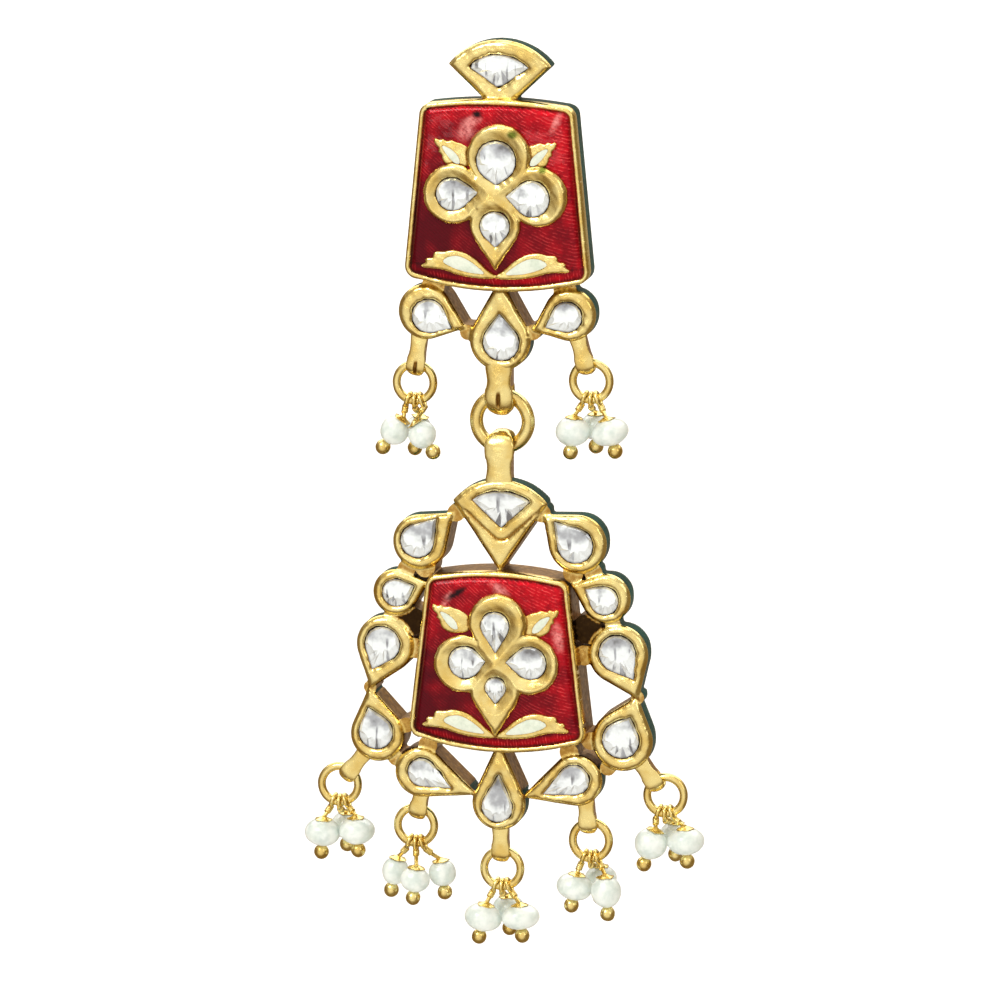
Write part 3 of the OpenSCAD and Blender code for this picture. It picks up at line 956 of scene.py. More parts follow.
@dataclass(frozen=True)
class Nacre(Finish):
    """The skin of a seed pearl."""

    name: str = "seed_pearl"
    light: Colour = (0.81, 0.87, 0.83)
    shade: Colour = (0.60, 0.69, 0.65)

    def sockets(self, tree: Tree) -> Inputs:
        """What the shader is fed.

        Args:
            tree: The material's tree.

        Returns:
            A value or a socket for each input of the shader.
        """
        cloud = tree.ramp(tree.noise(1.0, 3.0, 0.55), 0.35, 0.7)
        height = tree.total((tree.noise(1.6, 3.0, 0.55), 0.07), (tree.noise(8.0), 0.004))
        return {
            "Base Color": tree.mix(cloud, self.light, self.shade),
            "Roughness": 0.36,
            "Subsurface Weight": 0.18,
            "Subsurface Radius": (0.0006, 0.0006, 0.0005),
            "Subsurface Scale": 1.0,
            "Specular IOR Level": 0.6,
            "Coat Weight": 0.7,
            "Coat Roughness": 0.16,
            "Normal": tree.bump(height, 0.7),
        }


class Slot(Enum):
    """The record's material slots that new pieces take their finish from."""

    SET_GOLD = "set_gold"
    GOLD_WIRE = "gold_wire"
    RED = "red_enamel"
    GREEN = "green_enamel"
    WHITE = "white_enamel"
    DIAMOND = "flat_cut_diamond"
    PEARL = "seed_pearl"


class Finishes:
    """The materials by slot."""

    def __init__(self) -> None:
        """Builds each material once."""
        green = GlossEnamel(
            name="green_enamel",
            colour=(0.003, 0.036, 0.026),
            cloud=(0.004, 0.062, 0.045),
            grain=0.45,
            roughness=0.35,
            gloss=0.4,
            edge_gloss=0.06,
        )
        finishes = {
            Slot.SET_GOLD: Gold("set_gold"),
            Slot.GOLD_WIRE: Gold("gold_wire", roughness=(0.2, 0.32), dents=0.5),
            Slot.RED: RedEnamel(),
            Slot.GREEN: green,
            Slot.WHITE: GlossEnamel("white_enamel", (0.72, 0.78, 0.66), (0.60, 0.68, 0.56)),
            Slot.DIAMOND: FoiledDiamond(),
            Slot.PEARL: Nacre(),
        }
        self.by_slot = {slot: finish.material() for slot, finish in finishes.items()}

    def __getitem__(self, slot: Slot) -> Material:
        """The material of a slot."""
        return self.by_slot[slot]


def seat(piece: Thing, body: str, slot: Slot, names: Sequence[str]) -> None:
    """Puts a finished piece on its body.

    Args:
        piece: The piece.
        body: The body that it rides on.
        slot: The slot of its finish. It is not used.
        names: The nodes that it stands for.
    """
    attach(piece, body)
    if names:
        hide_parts(*names)
    log.info("%s: %d faces on %s", piece.name, len(piece.data.polygons), body)


@dataclass(frozen=True)
class Setting:
    """A bezel and the stone that it holds."""

    bezel: Pear
    stone: Pear

    @classmethod
    def of(cls, row: Row) -> "Setting":
        """A setting from ten numbers: bezel x, z, radius, tip x, z, and the same of its stone."""
        return cls(Pear(*row[:5]), Pear(*row[5:]))


def band(outer: Array, inner: Array, front: Array) -> Array:
    """The height of a bezel's rounded band.

    Args:
        outer: Signed distance from the bezel's outline.
        inner: Signed distance from the stone's outline.
        front: The height of the band's crest.

    Returns:
        The heights.
    """
    edge = unit(1 + outer / 0.5)
    near = unit(1 - inner / 0.34)
    return front - BAND_DROP * edge**2.3 - BAND_LIP * near**1.7 - 1.2 * outside(outer)


def pocketed(high: Array, inner: Array, lip: Array) -> Array:
    """Heights with the stones' pockets sunk in, from the distance to the stones and the lips' height."""
    return np.minimum(high, np.where(inner < 0, lip - POCKET * unit(-inner / 0.07), np.inf))


def stone_grime_and_shade(inner: Array, strength: float) -> Array:
    """Grimy gold and painted shade beside the stones, and painted shade in their pockets, from the signed
    distance to the stones.
    """
    return strength * ridge(inner, 0.05) + np.where(inner < -0.03, 1.0, 0.0)


def spotted(points: Array, spots: Iterable[Spot], start: float, fall: float) -> Array:
    """Soft-edged oval spots.

    Args:
        points: The flat points.
        spots: The spots.
        start: The strength in a spot's middle, which is cut at 1.
        fall: How fast the strength falls towards the spot's edge.

    Returns:
        The strength, from 0 to 1.
    """
    strength = np.zeros(len(points))
    for x, z, length, width, turn in spots:
        cosine, sine = math.cos(math.radians(turn)), math.sin(math.radians(turn))
        along = (points[:, 0] - x) * cosine + (points[:, 1] - z) * sine
        across = (points[:, 1] - z) * cosine - (points[:, 0] - x) * sine
        strength += smooth_step(start - fall * np.hypot(along / length, across / width))
    return unit(strength)


@dataclass
class EnamelledBody:
    """One gold body: its bezels, its red plaque with the flower and leaves, its stones and its enamels."""

    name: str
    plaque: Plaque
    fan: Fan
    fan_stone: Fan
    settings: list[Setting]
    webs: list[Round]
    open_field: Polygon
    flower_z: float
    lobes: list[Round]
    petals: list[Pear]
    leaf_shift: tuple[float, float]
    low_leaf_shift: tuple[float, float]
    rim_stones: str
    flaws: list[Spot]
    # Spots of painted glare on the red enamel
    painted_glare_spots: list[Spot]
    stains: list[tuple[float, float, float]]
    # Dark oval spots of painted shade between the bezels
    shade_spots: list[Spot]
    seed: int
    groove: float = 0.0

    def __post_init__(self) -> None:
        """Prepares the outlines that several fields read."""
        self.bezels = [setting.bezel for setting in self.settings]
        self.stones = [setting.stone for setting in self.settings]
        self.plaque_line = Polygon(self.plaque.outline())
        self.fan_line = Polygon(self.fan.outline(20))
        self.fan_stone_line = Polygon(self.fan_stone.outline(14))
        high = self.leaf_shift[0], self.leaf_shift[1] + self.flower_z
        low = self.low_leaf_shift[0], self.low_leaf_shift[1] + self.flower_z
        self.leaf_lines = pair(UPPER_LEAF, high) + pair(LOWER_LEAF, low)
        self.kernel_lines = pair(UPPER_KERNEL, high) + pair(LOWER_KERNEL, low)
        self.point = Pear(0, self.flower_z - 2.4, 2.0, 0.05, self.flower_z - 6.0)
        self.soft = Ripple(self.seed, length=2.6)
        self.fine = Ripple(self.seed + 1, length=0.9)

    def box(self) -> Box:
        """The flat box of the whole body.

        Returns:
            The box.
        """
        corners = [*self.plaque_line.corners, *self.fan_line.corners]
        for bezel in self.bezels:
            corners.append((bezel.tip_x, bezel.tip_z))
            corners += [(bezel.x + way * bezel.radius, bezel.z + way * bezel.radius) for way in (-1, 1)]
        return boxed(np.array(corners), 0.2)

    def outline(self, points: Array) -> Array:
        """Signed distance from the whole body's outline, with soft solder in the corners."""
        whole = blend_low(self.plaque_line(points), self.fan_line(points), 0.2)
        return merged(whole, [*self.bezels, *self.webs], points, 0.16)

    def stone_distance(self, points: Array) -> Array:
        """Signed distance from the nearest stone outside the plaque, a little uneven."""
        return nearest([self.fan_stone_line, *self.stones], points) + 0.025 * self.fine(points)

    def enamel_edge(self, points: Array) -> Array:
        """Signed distance from the rim's inner side, where the red enamel begins."""
        return self.plaque_line(points) + RIM_WIDTH

    def fan_groove(self, points: Array) -> Array:
        """How deep points lie in the groove round the fan's stone, which runs below its tips."""
        below = smooth_step((self.fan.tip_z - 0.4 - points[:, 1]) / 0.5)
        return (self.groove > 0) * ridge(self.fan_stone_line(points) - self.groove, 0.1) * below

    def rim_height(self, points: Array) -> Array:
        """The height of the plaque's rim: a bead with steep sides.

        Args:
            points: The flat points.

        Returns:
            The heights.
        """
        rim = self.plaque_line(points)
        half = RIM_WIDTH / 2
        foot = RIM_FRONT - 0.16
        crest = RIM_FRONT - 0.02 + 0.02 * self.soft(points) + 0.008 * self.fine(points)
        bead = crest - 0.14 * np.abs((rim + half) / half) ** 2.2
        bead = np.where(rim > 0, foot - 9 * rim, bead)
        return np.where(rim < -RIM_WIDTH, foot + 9 * (rim + RIM_WIDTH), bead)

    def frame_height(self, points: Array) -> Array:
        """The height of the bezels, the solder, the plaque's rim and the tray inside it.

        Args:
            points: The flat points.

        Returns:
            The heights.
        """
        inner = self.stone_distance(points)
        crest = FRONT - 0.02 + 0.03 * self.soft(points) + 0.012 * self.fine(points)
        high = band(self.fan_line(points), inner, crest) - 0.16 * self.fan_groove(points)
        for bezel in self.bezels:
            high = blend_high(high, band(bezel(points), inner, crest), 0.07)
        for web in self.webs:
            depth = unit(1 + web(points) / web.radius)
            high = blend_high(high, np.maximum(crest - 0.38 - 0.08 * depth**2, EDGE_BACK + 0.05), 0.1)
        high = pocketed(high, inner, crest - BAND_LIP)
        rim = self.rim_height(points)
        tray = np.maximum(rim, TRAY_FLOOR)
        return np.where(self.enamel_edge(points) < 0, tray, blend_high(high, rim, 0.1))

    def frame_hollow(self, points: Array) -> Array:
        """Where the gold is grimy and takes painted shade: beside the stones, between the bezels and at the
        foot of the rim, with more painted shade in dark spots and in the fan's groove.

        Args:
            points: The flat points.

        Returns:
            The strength, from 0 to 1.
        """
        gaps = [line(points) for line in (self.fan_line, *self.bezels)]
        first, second, *_ = np.sort(np.stack(gaps), axis=0)
        joint = ridge(first, 0.1) * ridge(second, 0.14)
        rim = self.plaque_line(points)
        foot = ridge(rim - 0.05, 0.06) * (first < 0.1)
        between = smooth_step(first / 0.2) * (rim > 0.02)
        shade = spotted(points, self.shade_spots, 1.8, 1.5) * between + 0.5 * self.fan_groove(points)
        beside = stone_grime_and_shade(self.stone_distance(points), 0.85)
        return unit(0.8 * joint + 0.6 * foot + 0.48 * between + shade + beside)

    def wall_shade(self, points: Array) -> Array:
        """Painted shade on the gold's lower edge, most round the openings."""
        return 0.25 + 0.5 * smooth_step(0.5 - self.open_field(points) / 0.4)

    def core_outline(self, points: Array) -> Array:
        """Signed distance from the gold core's outline, which lies inside the green enamel."""
        covered = smooth_step(self.open_field(points) / 0.4 + 1.125)
        return self.outline(points) + GREEN_WALL * covered

    def build_frame(self) -> Shell:
        """The bezels, the plaque's rim and tray, and the core behind them.

        Returns:
            Both shells as one.
        """
        sheet = Sheet(self.outline, self.box())
        sheet.follow(self.outline, (-0.06, -0.15, -0.27), 0.1)
        sheet.follow(self.stone_distance, (-0.07, -0.01, 0.06, 0.14, 0.25), 0.1)
        if self.groove:
            across = self.groove + np.array([-0.16, -0.07, 0.0, 0.07, 0.16])
            sheet.follow(self.fan_stone_line, across, 0.12)
        half = RIM_WIDTH / 2
        rows = (0.03, -0.02, -0.5 * half, -half, -1.5 * half, 0.01 - RIM_WIDTH, -0.05 - RIM_WIDTH)
        sheet.follow(self.plaque_line, rows, 0.12)
        front = sheet.shell(
            self.frame_height,
            plane(EDGE_BACK),
            0.15,
            self.frame_hollow,
            calm=lambda points: self.enamel_edge(points) + 0.1,
            rear_hollow=self.wall_shade,
        )
        core = Sheet(self.core_outline, self.box())
        # The core behind the green takes painted shade all over, which darkens its walls in the openings.
        back = core.shell(plane(EDGE_BACK), plane(CORE_BACK), 0.6, plane(0.78), rear_hollow=plane(0.8))
        return front.joined(back)

    def flower_outline(self, points: Array) -> Array:
        """Signed distance from the flower's outline, a little uneven."""
        return merged(self.point(points), self.lobes, points, 0.12) + 0.02 * self.fine(points)

    def leaf_distance(self, points: Array) -> Array:
        """Signed distance from the nearest leaf."""
        return nearest(self.leaf_lines, points)

    def kernel_distance(self, points: Array) -> Array:
        """Signed distance from the nearest white kernel."""
        return nearest(self.kernel_lines, points)

    def petal_distance(self, points: Array) -> Array:
        """Signed distance from the nearest petal's stone, a little uneven."""
        return nearest(self.petals, points) + 0.025 * self.fine(points)

    def flower_and_leaves(self, points: Array) -> Array:
        """Signed distance from the flower and its leaves together."""
        return np.minimum(self.flower_outline(points), self.leaf_distance(points))

    def flower_height(self, points: Array) -> Array:
        """The height of the flower and its leaves.

        Args:
            points: The flat points.

        Returns:
            The heights.
        """
        outer = self.flower_outline(points)
        inner = self.petal_distance(points)
        crest = FLOWER_FRONT - 0.03 + 0.025 * self.soft(points)
        edge = unit(1 + outer / 0.46)
        near = unit(1 - inner / 0.85)
        flower = crest - BAND_DROP * edge**2.3 - PETAL_LIP * near**1.25 - 7 * outside(outer)
        flower = pocketed(flower, inner, crest - PETAL_LIP)
        leaf = self.leaf_distance(points)
        blade = LEAF_FRONT - 0.03 - 0.16 * unit(1 + leaf / 0.16) ** 2 - 6 * outside(leaf)
        blade = blade - 0.2 * unit(-self.kernel_distance(points) / 0.07) + 0.01 * self.fine(points)
        return np.maximum(flower, blade)

    def flower_hollow(self, points: Array) -> Array:
        """Where the flower and the leaves are grimy and take painted shade: beside the stones, round the
        white kernels and at the flower's foot.

        Args:
            points: The flat points.

        Returns:
            The strength, from 0 to 1.
        """
        beside = stone_grime_and_shade(self.petal_distance(points), 0.8)
        kernel = 0.4 * ridge(self.kernel_distance(points), 0.05)
        foot = 0.9 * ridge(self.flower_outline(points) - 0.06, 0.07)
        return unit(beside + kernel + foot)

    def stain_at(self, points: Array) -> Array:
        """Where an olive trace of enamel is left on the gold."""
        return spotted(points, [(x, z, size, size / 1.3, 0) for x, z, size in self.stains], 1.6, 1.2)

    def build_flower(self) -> Shell:
        """The flower and the leaves.

        Returns:
            Their shell.
        """
        x0, z0, x1, z1 = boxed(np.vstack([line.corners for line in self.leaf_lines]), 0.3)
        top = 0.3 + max(lobe.z + lobe.radius for lobe in self.lobes)
        sheet = Sheet(self.flower_and_leaves, (x0, z0 - 0.3, x1, max(z1, top)))
        sheet.follow(self.flower_and_leaves, (-0.05, -0.12), 0.075)
        sheet.follow(self.flower_outline, (0.05, 0.0, -0.06, -0.13, -0.22), 0.1)
        sheet.follow(self.petal_distance, (-0.07, -0.01, 0.07, 0.16, 0.28, 0.4), 0.1)
        sheet.follow(self.kernel_distance, (0.0, -0.06), 0.07)
        stain = {"stain": self.stain_at}
        return sheet.shell(self.flower_height, plane(TRAY_FLOOR - 0.02), 0.12, self.flower_hollow, stain)

    def bevel(self, points: Array) -> tuple[Array, Array]:
        """How far in from the rim points lie, and how wide the enamel's bevel is there: widest below."""
        low = smooth_step((self.flower_z - 4.6 - points[:, 1]) / 1.6)
        return -self.enamel_edge(points), 0.4 + 0.4 * low

    def cushion_height(self, points: Array) -> Array:
        """The height of the red enamel: a low dome with a bevel.

        Args:
            points: The flat points.

        Returns:
            The heights.
        """
        inside, width = self.bevel(points)
        rise = unit(inside / width)
        dome = 0.0065 * (points[:, 1] - self.flower_z) ** 2 + 0.003 * points[:, 0] ** 2
        high = CUSHION_FRONT + 0.06 - np.minimum(dome, 0.28)
        low = RIM_FRONT - 0.22
        return low + (high - low) * (1 - (1 - rise) ** 1.5) + 0.008 * self.soft(points) * rise

    def cushion_painted_light(self, points: Array) -> Array:
        """Painted light on the red enamel: lighter at the top, the right and the lower bevel, with painted
        shade where the bevel meets the top.

        Args:
            points: The flat points.

        Returns:
            The brightness, from 0 to 1.
        """
        x = points[:, 0] / self.plaque.low_half
        z = (points[:, 1] - self.flower_z) / 7
        inside, width = self.bevel(points)
        low = (width - 0.4) / 0.4
        glow = 0.36 + 0.3 * z + 0.34 * x + 0.13 * self.soft(points)
        glow += 0.35 * smooth_step((z + 0.2) * 1.2) * smooth_step(1.5 - inside)
        bevel = ridge(inside - 0.35, 0.28) * low
        crease = ridge(inside - width, 0.12) * (0.2 + 0.7 * low)
        return np.clip(glow + 0.6 * bevel - 0.5 * crease, 0.02, 1.0)

    def cushion_hatch(self, points: Array) -> Array:
        """The engraver's strokes: slanted, more level on the right and upright below.

        Args:
            points: The flat points.

        Returns:
            A length across the strokes.
        """
        x, z = points[:, 0], points[:, 1] - self.flower_z
        turning = np.where(x > 0, x - x * x / 15, x)
        below = (z < -5.6) & (-self.enamel_edge(points) < 0.8)
        return np.where(below, 0.9 * x + 0.1 * z, 0.62 * turning + 0.78 * z)

    def cushion_flaw_and_shadow(self, points: Array) -> Array:
        """Dark flaws in the enamel, and the dark line of painted shadow where it meets the rim."""
        line = ridge(outside(-self.enamel_edge(points)), 0.13) * (0.7 + 0.2 * self.soft(points))
        return unit(spotted(points, self.flaws, 1.7, 1.3) + line)

    def cushion_painted_glare(self, points: Array) -> Array:
        """Where painted glare lies on the enamel."""
        return spotted(points, self.painted_glare_spots, 1.3, 1.2)

    def build_cushion(self) -> Shell:
        """The red enamel.

        Returns:
            Its shell.
        """
        sheet = Sheet(lambda points: self.enamel_edge(points) - 0.02, boxed(self.plaque_line.corners))
        sheet.follow(self.enamel_edge, (-0.05, -0.12, -0.2, -0.32, -0.42, -0.55, -0.78, -0.95), 0.14)
        values = {
            "glow": self.cushion_painted_light,
            "hatch": self.cushion_hatch,
            "flaw_and_shadow": self.cushion_flaw_and_shadow,
            "painted_glare": self.cushion_painted_glare,
        }
        return sheet.shell(self.cushion_height, plane(TRAY_FLOOR + 0.01), 0.2, extras=values)

    def kernel_height(self, points: Array) -> Array:
        """The height of the white enamel, slightly domed."""
        return LEAF_FRONT - 0.045 + 0.04 * smooth_step(-self.kernel_distance(points) / 0.22)

    def build_kernels(self) -> Shell:
        """The white enamel in the leaves.

        Returns:
            Its shell.
        """
        corners = np.vstack([line.corners for line in self.kernel_lines])
        sheet = Sheet(self.kernel_distance, boxed(corners, 0.1))
        sheet.follow(self.kernel_distance, (-0.06, -0.14), 0.07)
        return sheet.shell(self.kernel_height, plane(LEAF_FRONT - 0.26), 0.12)

    def opened(self, points: Array) -> Array:
        """How far points lie in the field of the openings, from 0 to 1."""
        return smooth_step(-self.open_field(points) / 0.3)

    def green_outline(self, points: Array) -> Array:
        """Signed distance from the green enamel's outline, set back a little behind the openings' gold."""
        return self.outline(points) + 0.05 * self.opened(points)

    def green_back(self, points: Array) -> Array:
        """How far the green enamel's back stands in front of the back plane: drawn in at its rim.

        Args:
            points: The flat points.

        Returns:
            The heights.
        """
        inside = outside(-self.green_outline(points))
        flank = 1.45 * unit(1 - inside / 0.34) ** 1.15
        turned = 0.3 * unit(1 - inside / 0.7) ** 2
        plate = CORE_BACK * unit(1 - inside / 0.05)
        opened = self.opened(points)
        tapered = np.maximum(flank, turned) * (1 - opened) + plate * opened
        return np.minimum(tapered, GREEN_FRONT - 0.02)

    def green_rim(self, points: Array) -> Array:
        """How near points lie to the green enamel's rim, where it has less gloss."""
        return 1 - smooth_step((-self.green_outline(points) - 0.3) / 0.4)

    def build_green(self) -> Shell:
        """The green enamel on the outer sides and the back.

        Returns:
            Its shell.
        """
        sheet = Sheet(self.green_outline, self.box())
        sheet.follow(self.green_outline, (-0.03, -0.08, -0.16, -0.25, -0.34, -0.5, -0.7), 0.13)
        return sheet.shell(plane(GREEN_FRONT), self.green_back, 0.45, self.green_rim)

    def dress(self, finishes: Finishes) -> None:
        """Makes the pieces and puts them on the body.

        Args:
            finishes: The materials.
        """
        green = self.build_green()
        gold = self.build_frame().joined(*(bail.shell() for bail in BAILS if bail.body == self.name))
        pieces = [
            ("green_sides", green, Slot.GREEN, ["green_enamel"]),
            ("bezels", gold, Slot.SET_GOLD, ["frame"]),
            ("flower", self.build_flower(), Slot.SET_GOLD, []),
            ("cushion", self.build_cushion(), Slot.RED, ["red_enamel"]),
            ("kernels", self.build_kernels(), Slot.WHITE, ["leaf_enamel"]),
        ]
        for name, shell, slot, nodes in pieces:
            piece = shell.to_object(f"{self.name}_{name}", finishes[slot])
            seat(piece, self.name, slot, [f"{self.name}_{node}" for node in nodes])
        self.dress_stones(finishes)

    def dress_stones(self, finishes: Finishes) -> None:
        """Cuts and sets the stones.

        Args:
            finishes: The materials.
        """
        low_lip, high_lip = FRONT - BAND_LIP, FLOWER_FRONT - PETAL_LIP
        stones = [("fan_stone", self.fan_stone.outline(7), self.fan_stone.centre(), low_lip)]
        for kind, pears, lip in (("petal", self.petals, high_lip), (self.rim_stones, self.stones, low_lip)):
            for n, pear in enumerate(pears, 1):
                stones.append((f"{kind}_stone_{n}", pear.outline(12), (pear.x, pear.z), lip))
        for n, (node, line, centre, lip) in enumerate(stones):
            cut = FlatCut(line, centre, lip - STONE_SINK, self.seed * 100 + n).shell()
            name = f"{self.name}_{node}"
            piece = cut.to_object(name.replace("_stone", "_diamond"), finishes[Slot.DIAMOND], sharp=0)
            seat(piece, self.name, Slot.DIAMOND, [name])


@dataclass(frozen=True)
class FlatCut:
    """A flat-cut diamond: a broad table that sits high, and narrow pleated facets fanned out below it."""

    line: Array
    centre: tuple[float, float]
    edge: float
    seed: int
    spokes: int = 18
    depth: float = 0.18
    rise: float = 0.2

    def girdle(self) -> Array:
        """Even points along the outline.

        Returns:
            The flat points.
        """
        closed = np.vstack([self.line, self.line[:1]])
        run = np.concatenate([[0], np.cumsum(np.hypot(*np.diff(closed, axis=0).T))])
        wanted = np.linspace(0, run[-1], self.spokes, endpoint=False)
        return np.column_stack([np.interp(wanted, run, closed[:, k]) for k in (0, 1)])

    def shell(self) -> Shell:
        """Cuts the stone.

        Returns:
            The closed stone, with each facet's painted reflection as a light level.
        """
        draw = np.random.default_rng(self.seed)
        middle = np.array(self.centre)
        outer = self.girdle()
        count = len(outer)
        spokes = outer - middle
        reach = float(np.hypot(*spokes.T).mean())
        down = np.clip(0.2 - spokes[:, 1] / (np.hypot(*spokes.T) + 1e-6), 0, 1)
        pleat = np.where(np.arange(count) % 2 == 0, 1.0, -1.0)
        share = 0.86 - 0.42 * down + 0.1 * pleat * down + draw.uniform(-0.03, 0.03, count)
        table = middle + (0.0, 0.05) + spokes * share[:, None]
        lean = draw.normal(0, 0.016, 2)
        crest = self.edge + self.rise + (table - middle) @ lean
        rings = raised(outer, self.edge - self.depth), raised(outer, self.edge), raised(table, crest)
        corners = np.vstack(rings)
        faces: list[tuple[int, ...]] = [tuple(range(count - 1, -1, -1)), tuple(range(2 * count, 3 * count))]
        # Each facet's light level is a painted reflection: the table mid-grey, the lower pleats alternating
        # bright and dark, the hidden sides dark
        facet_light = [0.0, 0.5 + draw.uniform(-0.12, 0.12)]
        for k in range(count):
            j = (k + 1) % count
            low = (down[k] + down[j]) / 2
            faces.append((k, j, count + j, count + k))
            facet_light.append(0.0)
            faces.append((count + k, count + j, 2 * count + j))
            facet_light.append(0.5 + low * (0.5 if k % 2 else draw.uniform(-0.55, 0.1)))
            faces.append((count + k, 2 * count + j, 2 * count + k))
            facet_light.append(0.5 + low * draw.uniform(-0.2, 0.5))
        place = (corners[:, [0, 2]] - middle) / reach
        values = {"up": place[:, 1], "across": place[:, 0] + draw.uniform(-40, 40)}
        # The girdle's corners take painted shade, which darkens the stone's edge
        hollow = np.concatenate([np.ones(2 * count), np.zeros(count)])
        return outward(Shell(corners, faces, hollow, values, np.array(facet_light)))


def outward(shell: Shell) -> Shell:
    """Turns a closed shell's faces so that they point outwards.

    Args:
        shell: A shell whose faces already agree with one another.

    Returns:
        The shell.
    """
    volume = 0.0
    for face in shell.faces:
        a = shell.corners[face[0]]
        for b, c in zip(face[1:-1], face[2:]):
            volume += float(np.dot(a, np.cross(shell.corners[b], shell.corners[c])))
    if volume < 0:
        shell.faces = [tuple(reversed(face)) for face in shell.faces]
    return shell


@dataclass(frozen=True)
class Bail:
    """A rounded strap folded into an eye on a neck, with a slit in its front or without."""

    body: str
    x: float
    z: float
    lean: float
    width: float
    radius: float
    bore: float
    neck: float
    slit: float = 0.0

    def section(self, grow: float) -> tuple[Array, Array]:
        """The strap's rounded section: across it, and outwards.

        Args:
            grow: The width's factor.

        Returns:
            The section's points across and outwards.
        """
        corners = [0, 9, 18, 27, 36, 45, 54, 63, 71, 78, 83.5, 86.8, 88.4, 89.2, 90]
        corners += [180 - corner for corner in corners[-2::-1]]
        corners += list(range(189, 360, 9))
        angles = np.radians(corners)
        across = self.width / 2 * grow * squared(np.cos(angles), 0.7)
        out = (self.radius - self.bore) / 2 * squared(np.sin(angles), 0.8)
        return across, out * (1 - 0.22 * (np.abs(across) / (self.width / 2)) ** 2 * (out > 0))

    def strap(self) -> Shell:
        """The strap: down the front, round the eye and up the back.

        Returns:
            Its shell, about the eye's middle.
        """
        middle = (self.radius + self.bore) / 2
        lengths = np.linspace(self.neck, 0, 14)[:-1]
        angles = np.linspace(0, math.pi, 33)
        path = [(middle, z, 0.0) for z in lengths]
        path += [(middle * math.cos(a), -middle * math.sin(a), -a) for a in angles]
        path += [(-middle, z, -math.pi) for z in lengths[::-1]]
        corners, hollow = [], []
        for y, z, angle in path:
            run = z if angle == -math.pi else -middle * (math.pi + angle)
            flare = 1.06 if z < 0.3 * self.neck else 1.0
            waist = 1 - 0.14 * math.exp(-(((z - 0.5 * self.neck) / (0.26 * self.neck)) ** 2))
            fold = (1 - (0.93 * max(math.sin(-angle), 0.0)) ** 2.6) ** 0.385
            rear = float(smooth_step(np.array(1 + 2 * angle / math.pi)))
            across, out = self.section(flare * waist * fold * (1 - 0.38 * rear))
            cut = np.zeros(len(across))
            if self.slit and angle < -1.5:
                place = math.exp(-(((run + 0.15) / 0.5) ** 4))
                cut = self.slit * place * np.exp(-((across / 0.13) ** 4)) * (out > 0)
            reach = out - cut
            ring = [across, y + reach * math.cos(angle), z + reach * math.sin(angle)]
            corners.append(np.column_stack(ring))
            # Painted shade in the slit and on the strap's back run
            hollow.append(np.clip(cut / max(self.slit, 0.01) * 1.3 + 0.35 * rear, 0, 0.8))
        return loft(np.array(corners), np.concatenate(hollow))

    def filling(self) -> Shell:
        """The solder between the strap's two runs.

        Returns:
            Its shell, about the eye's middle.
        """
        angles = turns(24)
        across = 0.36 * self.width * squared(np.cos(angles), 0.5)
        deep = (self.radius + self.bore) / 2 * squared(np.sin(angles), 0.5)
        levels = np.linspace(self.bore * 0.75, self.neck - 0.02, 5)
        rings = np.array([np.column_stack([across, deep, np.full(len(angles), z)]) for z in levels])
        # The solder between the runs takes painted shade
        return loft(rings, np.full(rings.shape[0] * rings.shape[1], 0.6))

    def shell(self) -> Shell:
        """Builds the bail in its place.

        Returns:
            The strap and the filling as one shell.
        """
        shell = self.strap().joined(self.filling())
        turn = math.radians(self.lean)
        x, y, z = shell.corners.T
        right = x * math.cos(turn) - z * math.sin(turn)
        up = x * math.sin(turn) + z * math.cos(turn)
        shell.corners = np.column_stack([self.x + right, y - MIDDLE, self.z + up])
        return shell


def loft(rings: Array, hollow: Array | None = None) -> Shell:
    """A closed skin through rings of corners, with flat ends.

    Args:
        rings: The rings, each with the same number of corners.
        hollow: The corners' hollow values, or None.

    Returns:
        The skin, facing outwards.
    """
    count, around = rings.shape[:2]
    faces: list[tuple[int, ...]] = []
    for i in range(count - 1):
        for j in range(around):
            k = (j + 1) % around
            faces.append((i * around + j, i * around + k, (i + 1) * around + k, (i + 1) * around + j))
    faces.append(tuple(range(around - 1, -1, -1)))
    faces.append(tuple(range((count - 1) * around, count * around)))
    return outward(Shell(rings.reshape(-1, 3), faces, hollow))


LINK_Z = -19.76
LINK_RADIUS = 2.06
LINK_WIRE = 0.52
JUMP_RADIUS = 1.46
JUMP_WIRE = 0.32
PIN_WIRE = 0.16
BALL_RADIUS = 0.6
BALL_SINK = 0.05
PINS = 3
PIN_SPREAD = 22.0

# The pins' flared caps: radius and height of their section, from the hole over the outside and back
CAP_RIM = 0.6
CAP_GROW = 1.12
CAP_SECTION = [
    (0.10, 0.24), (0.17, 0.25), (0.24, 0.19), (0.36, 0.12), (0.5, 0.06), (0.6, 0.03), (0.61, -0.02),
    (0.52, -0.02), (0.36, 0.02), (0.1, 0.05),
]


@dataclass(frozen=True)
class Drop:
    """Where a pearl drop hangs: its ring's middle, and its bail's lean, neck and slit."""

    name: str
    body: str
    x: float
    z: float
    lean: float
    neck: float
    slit: float = 0.0

    def bail(self) -> Bail:
        """The small bail that the drop's ring hangs in.

        Returns:
            The bail.
        """
        lean = math.radians(self.lean)
        x = self.x - JUMP_RADIUS * math.sin(lean)
        z = self.z + JUMP_RADIUS * math.cos(lean)
        return Bail(self.body, x, z, self.lean, 1.4, radius=0.9, bore=0.6, neck=self.neck, slit=self.slit)


@dataclass
class Bead:
    """A bead's middle, half width, half height and lean in degrees about Y."""

    middle: Array
    half_width: float
    half_height: float
    lean: float


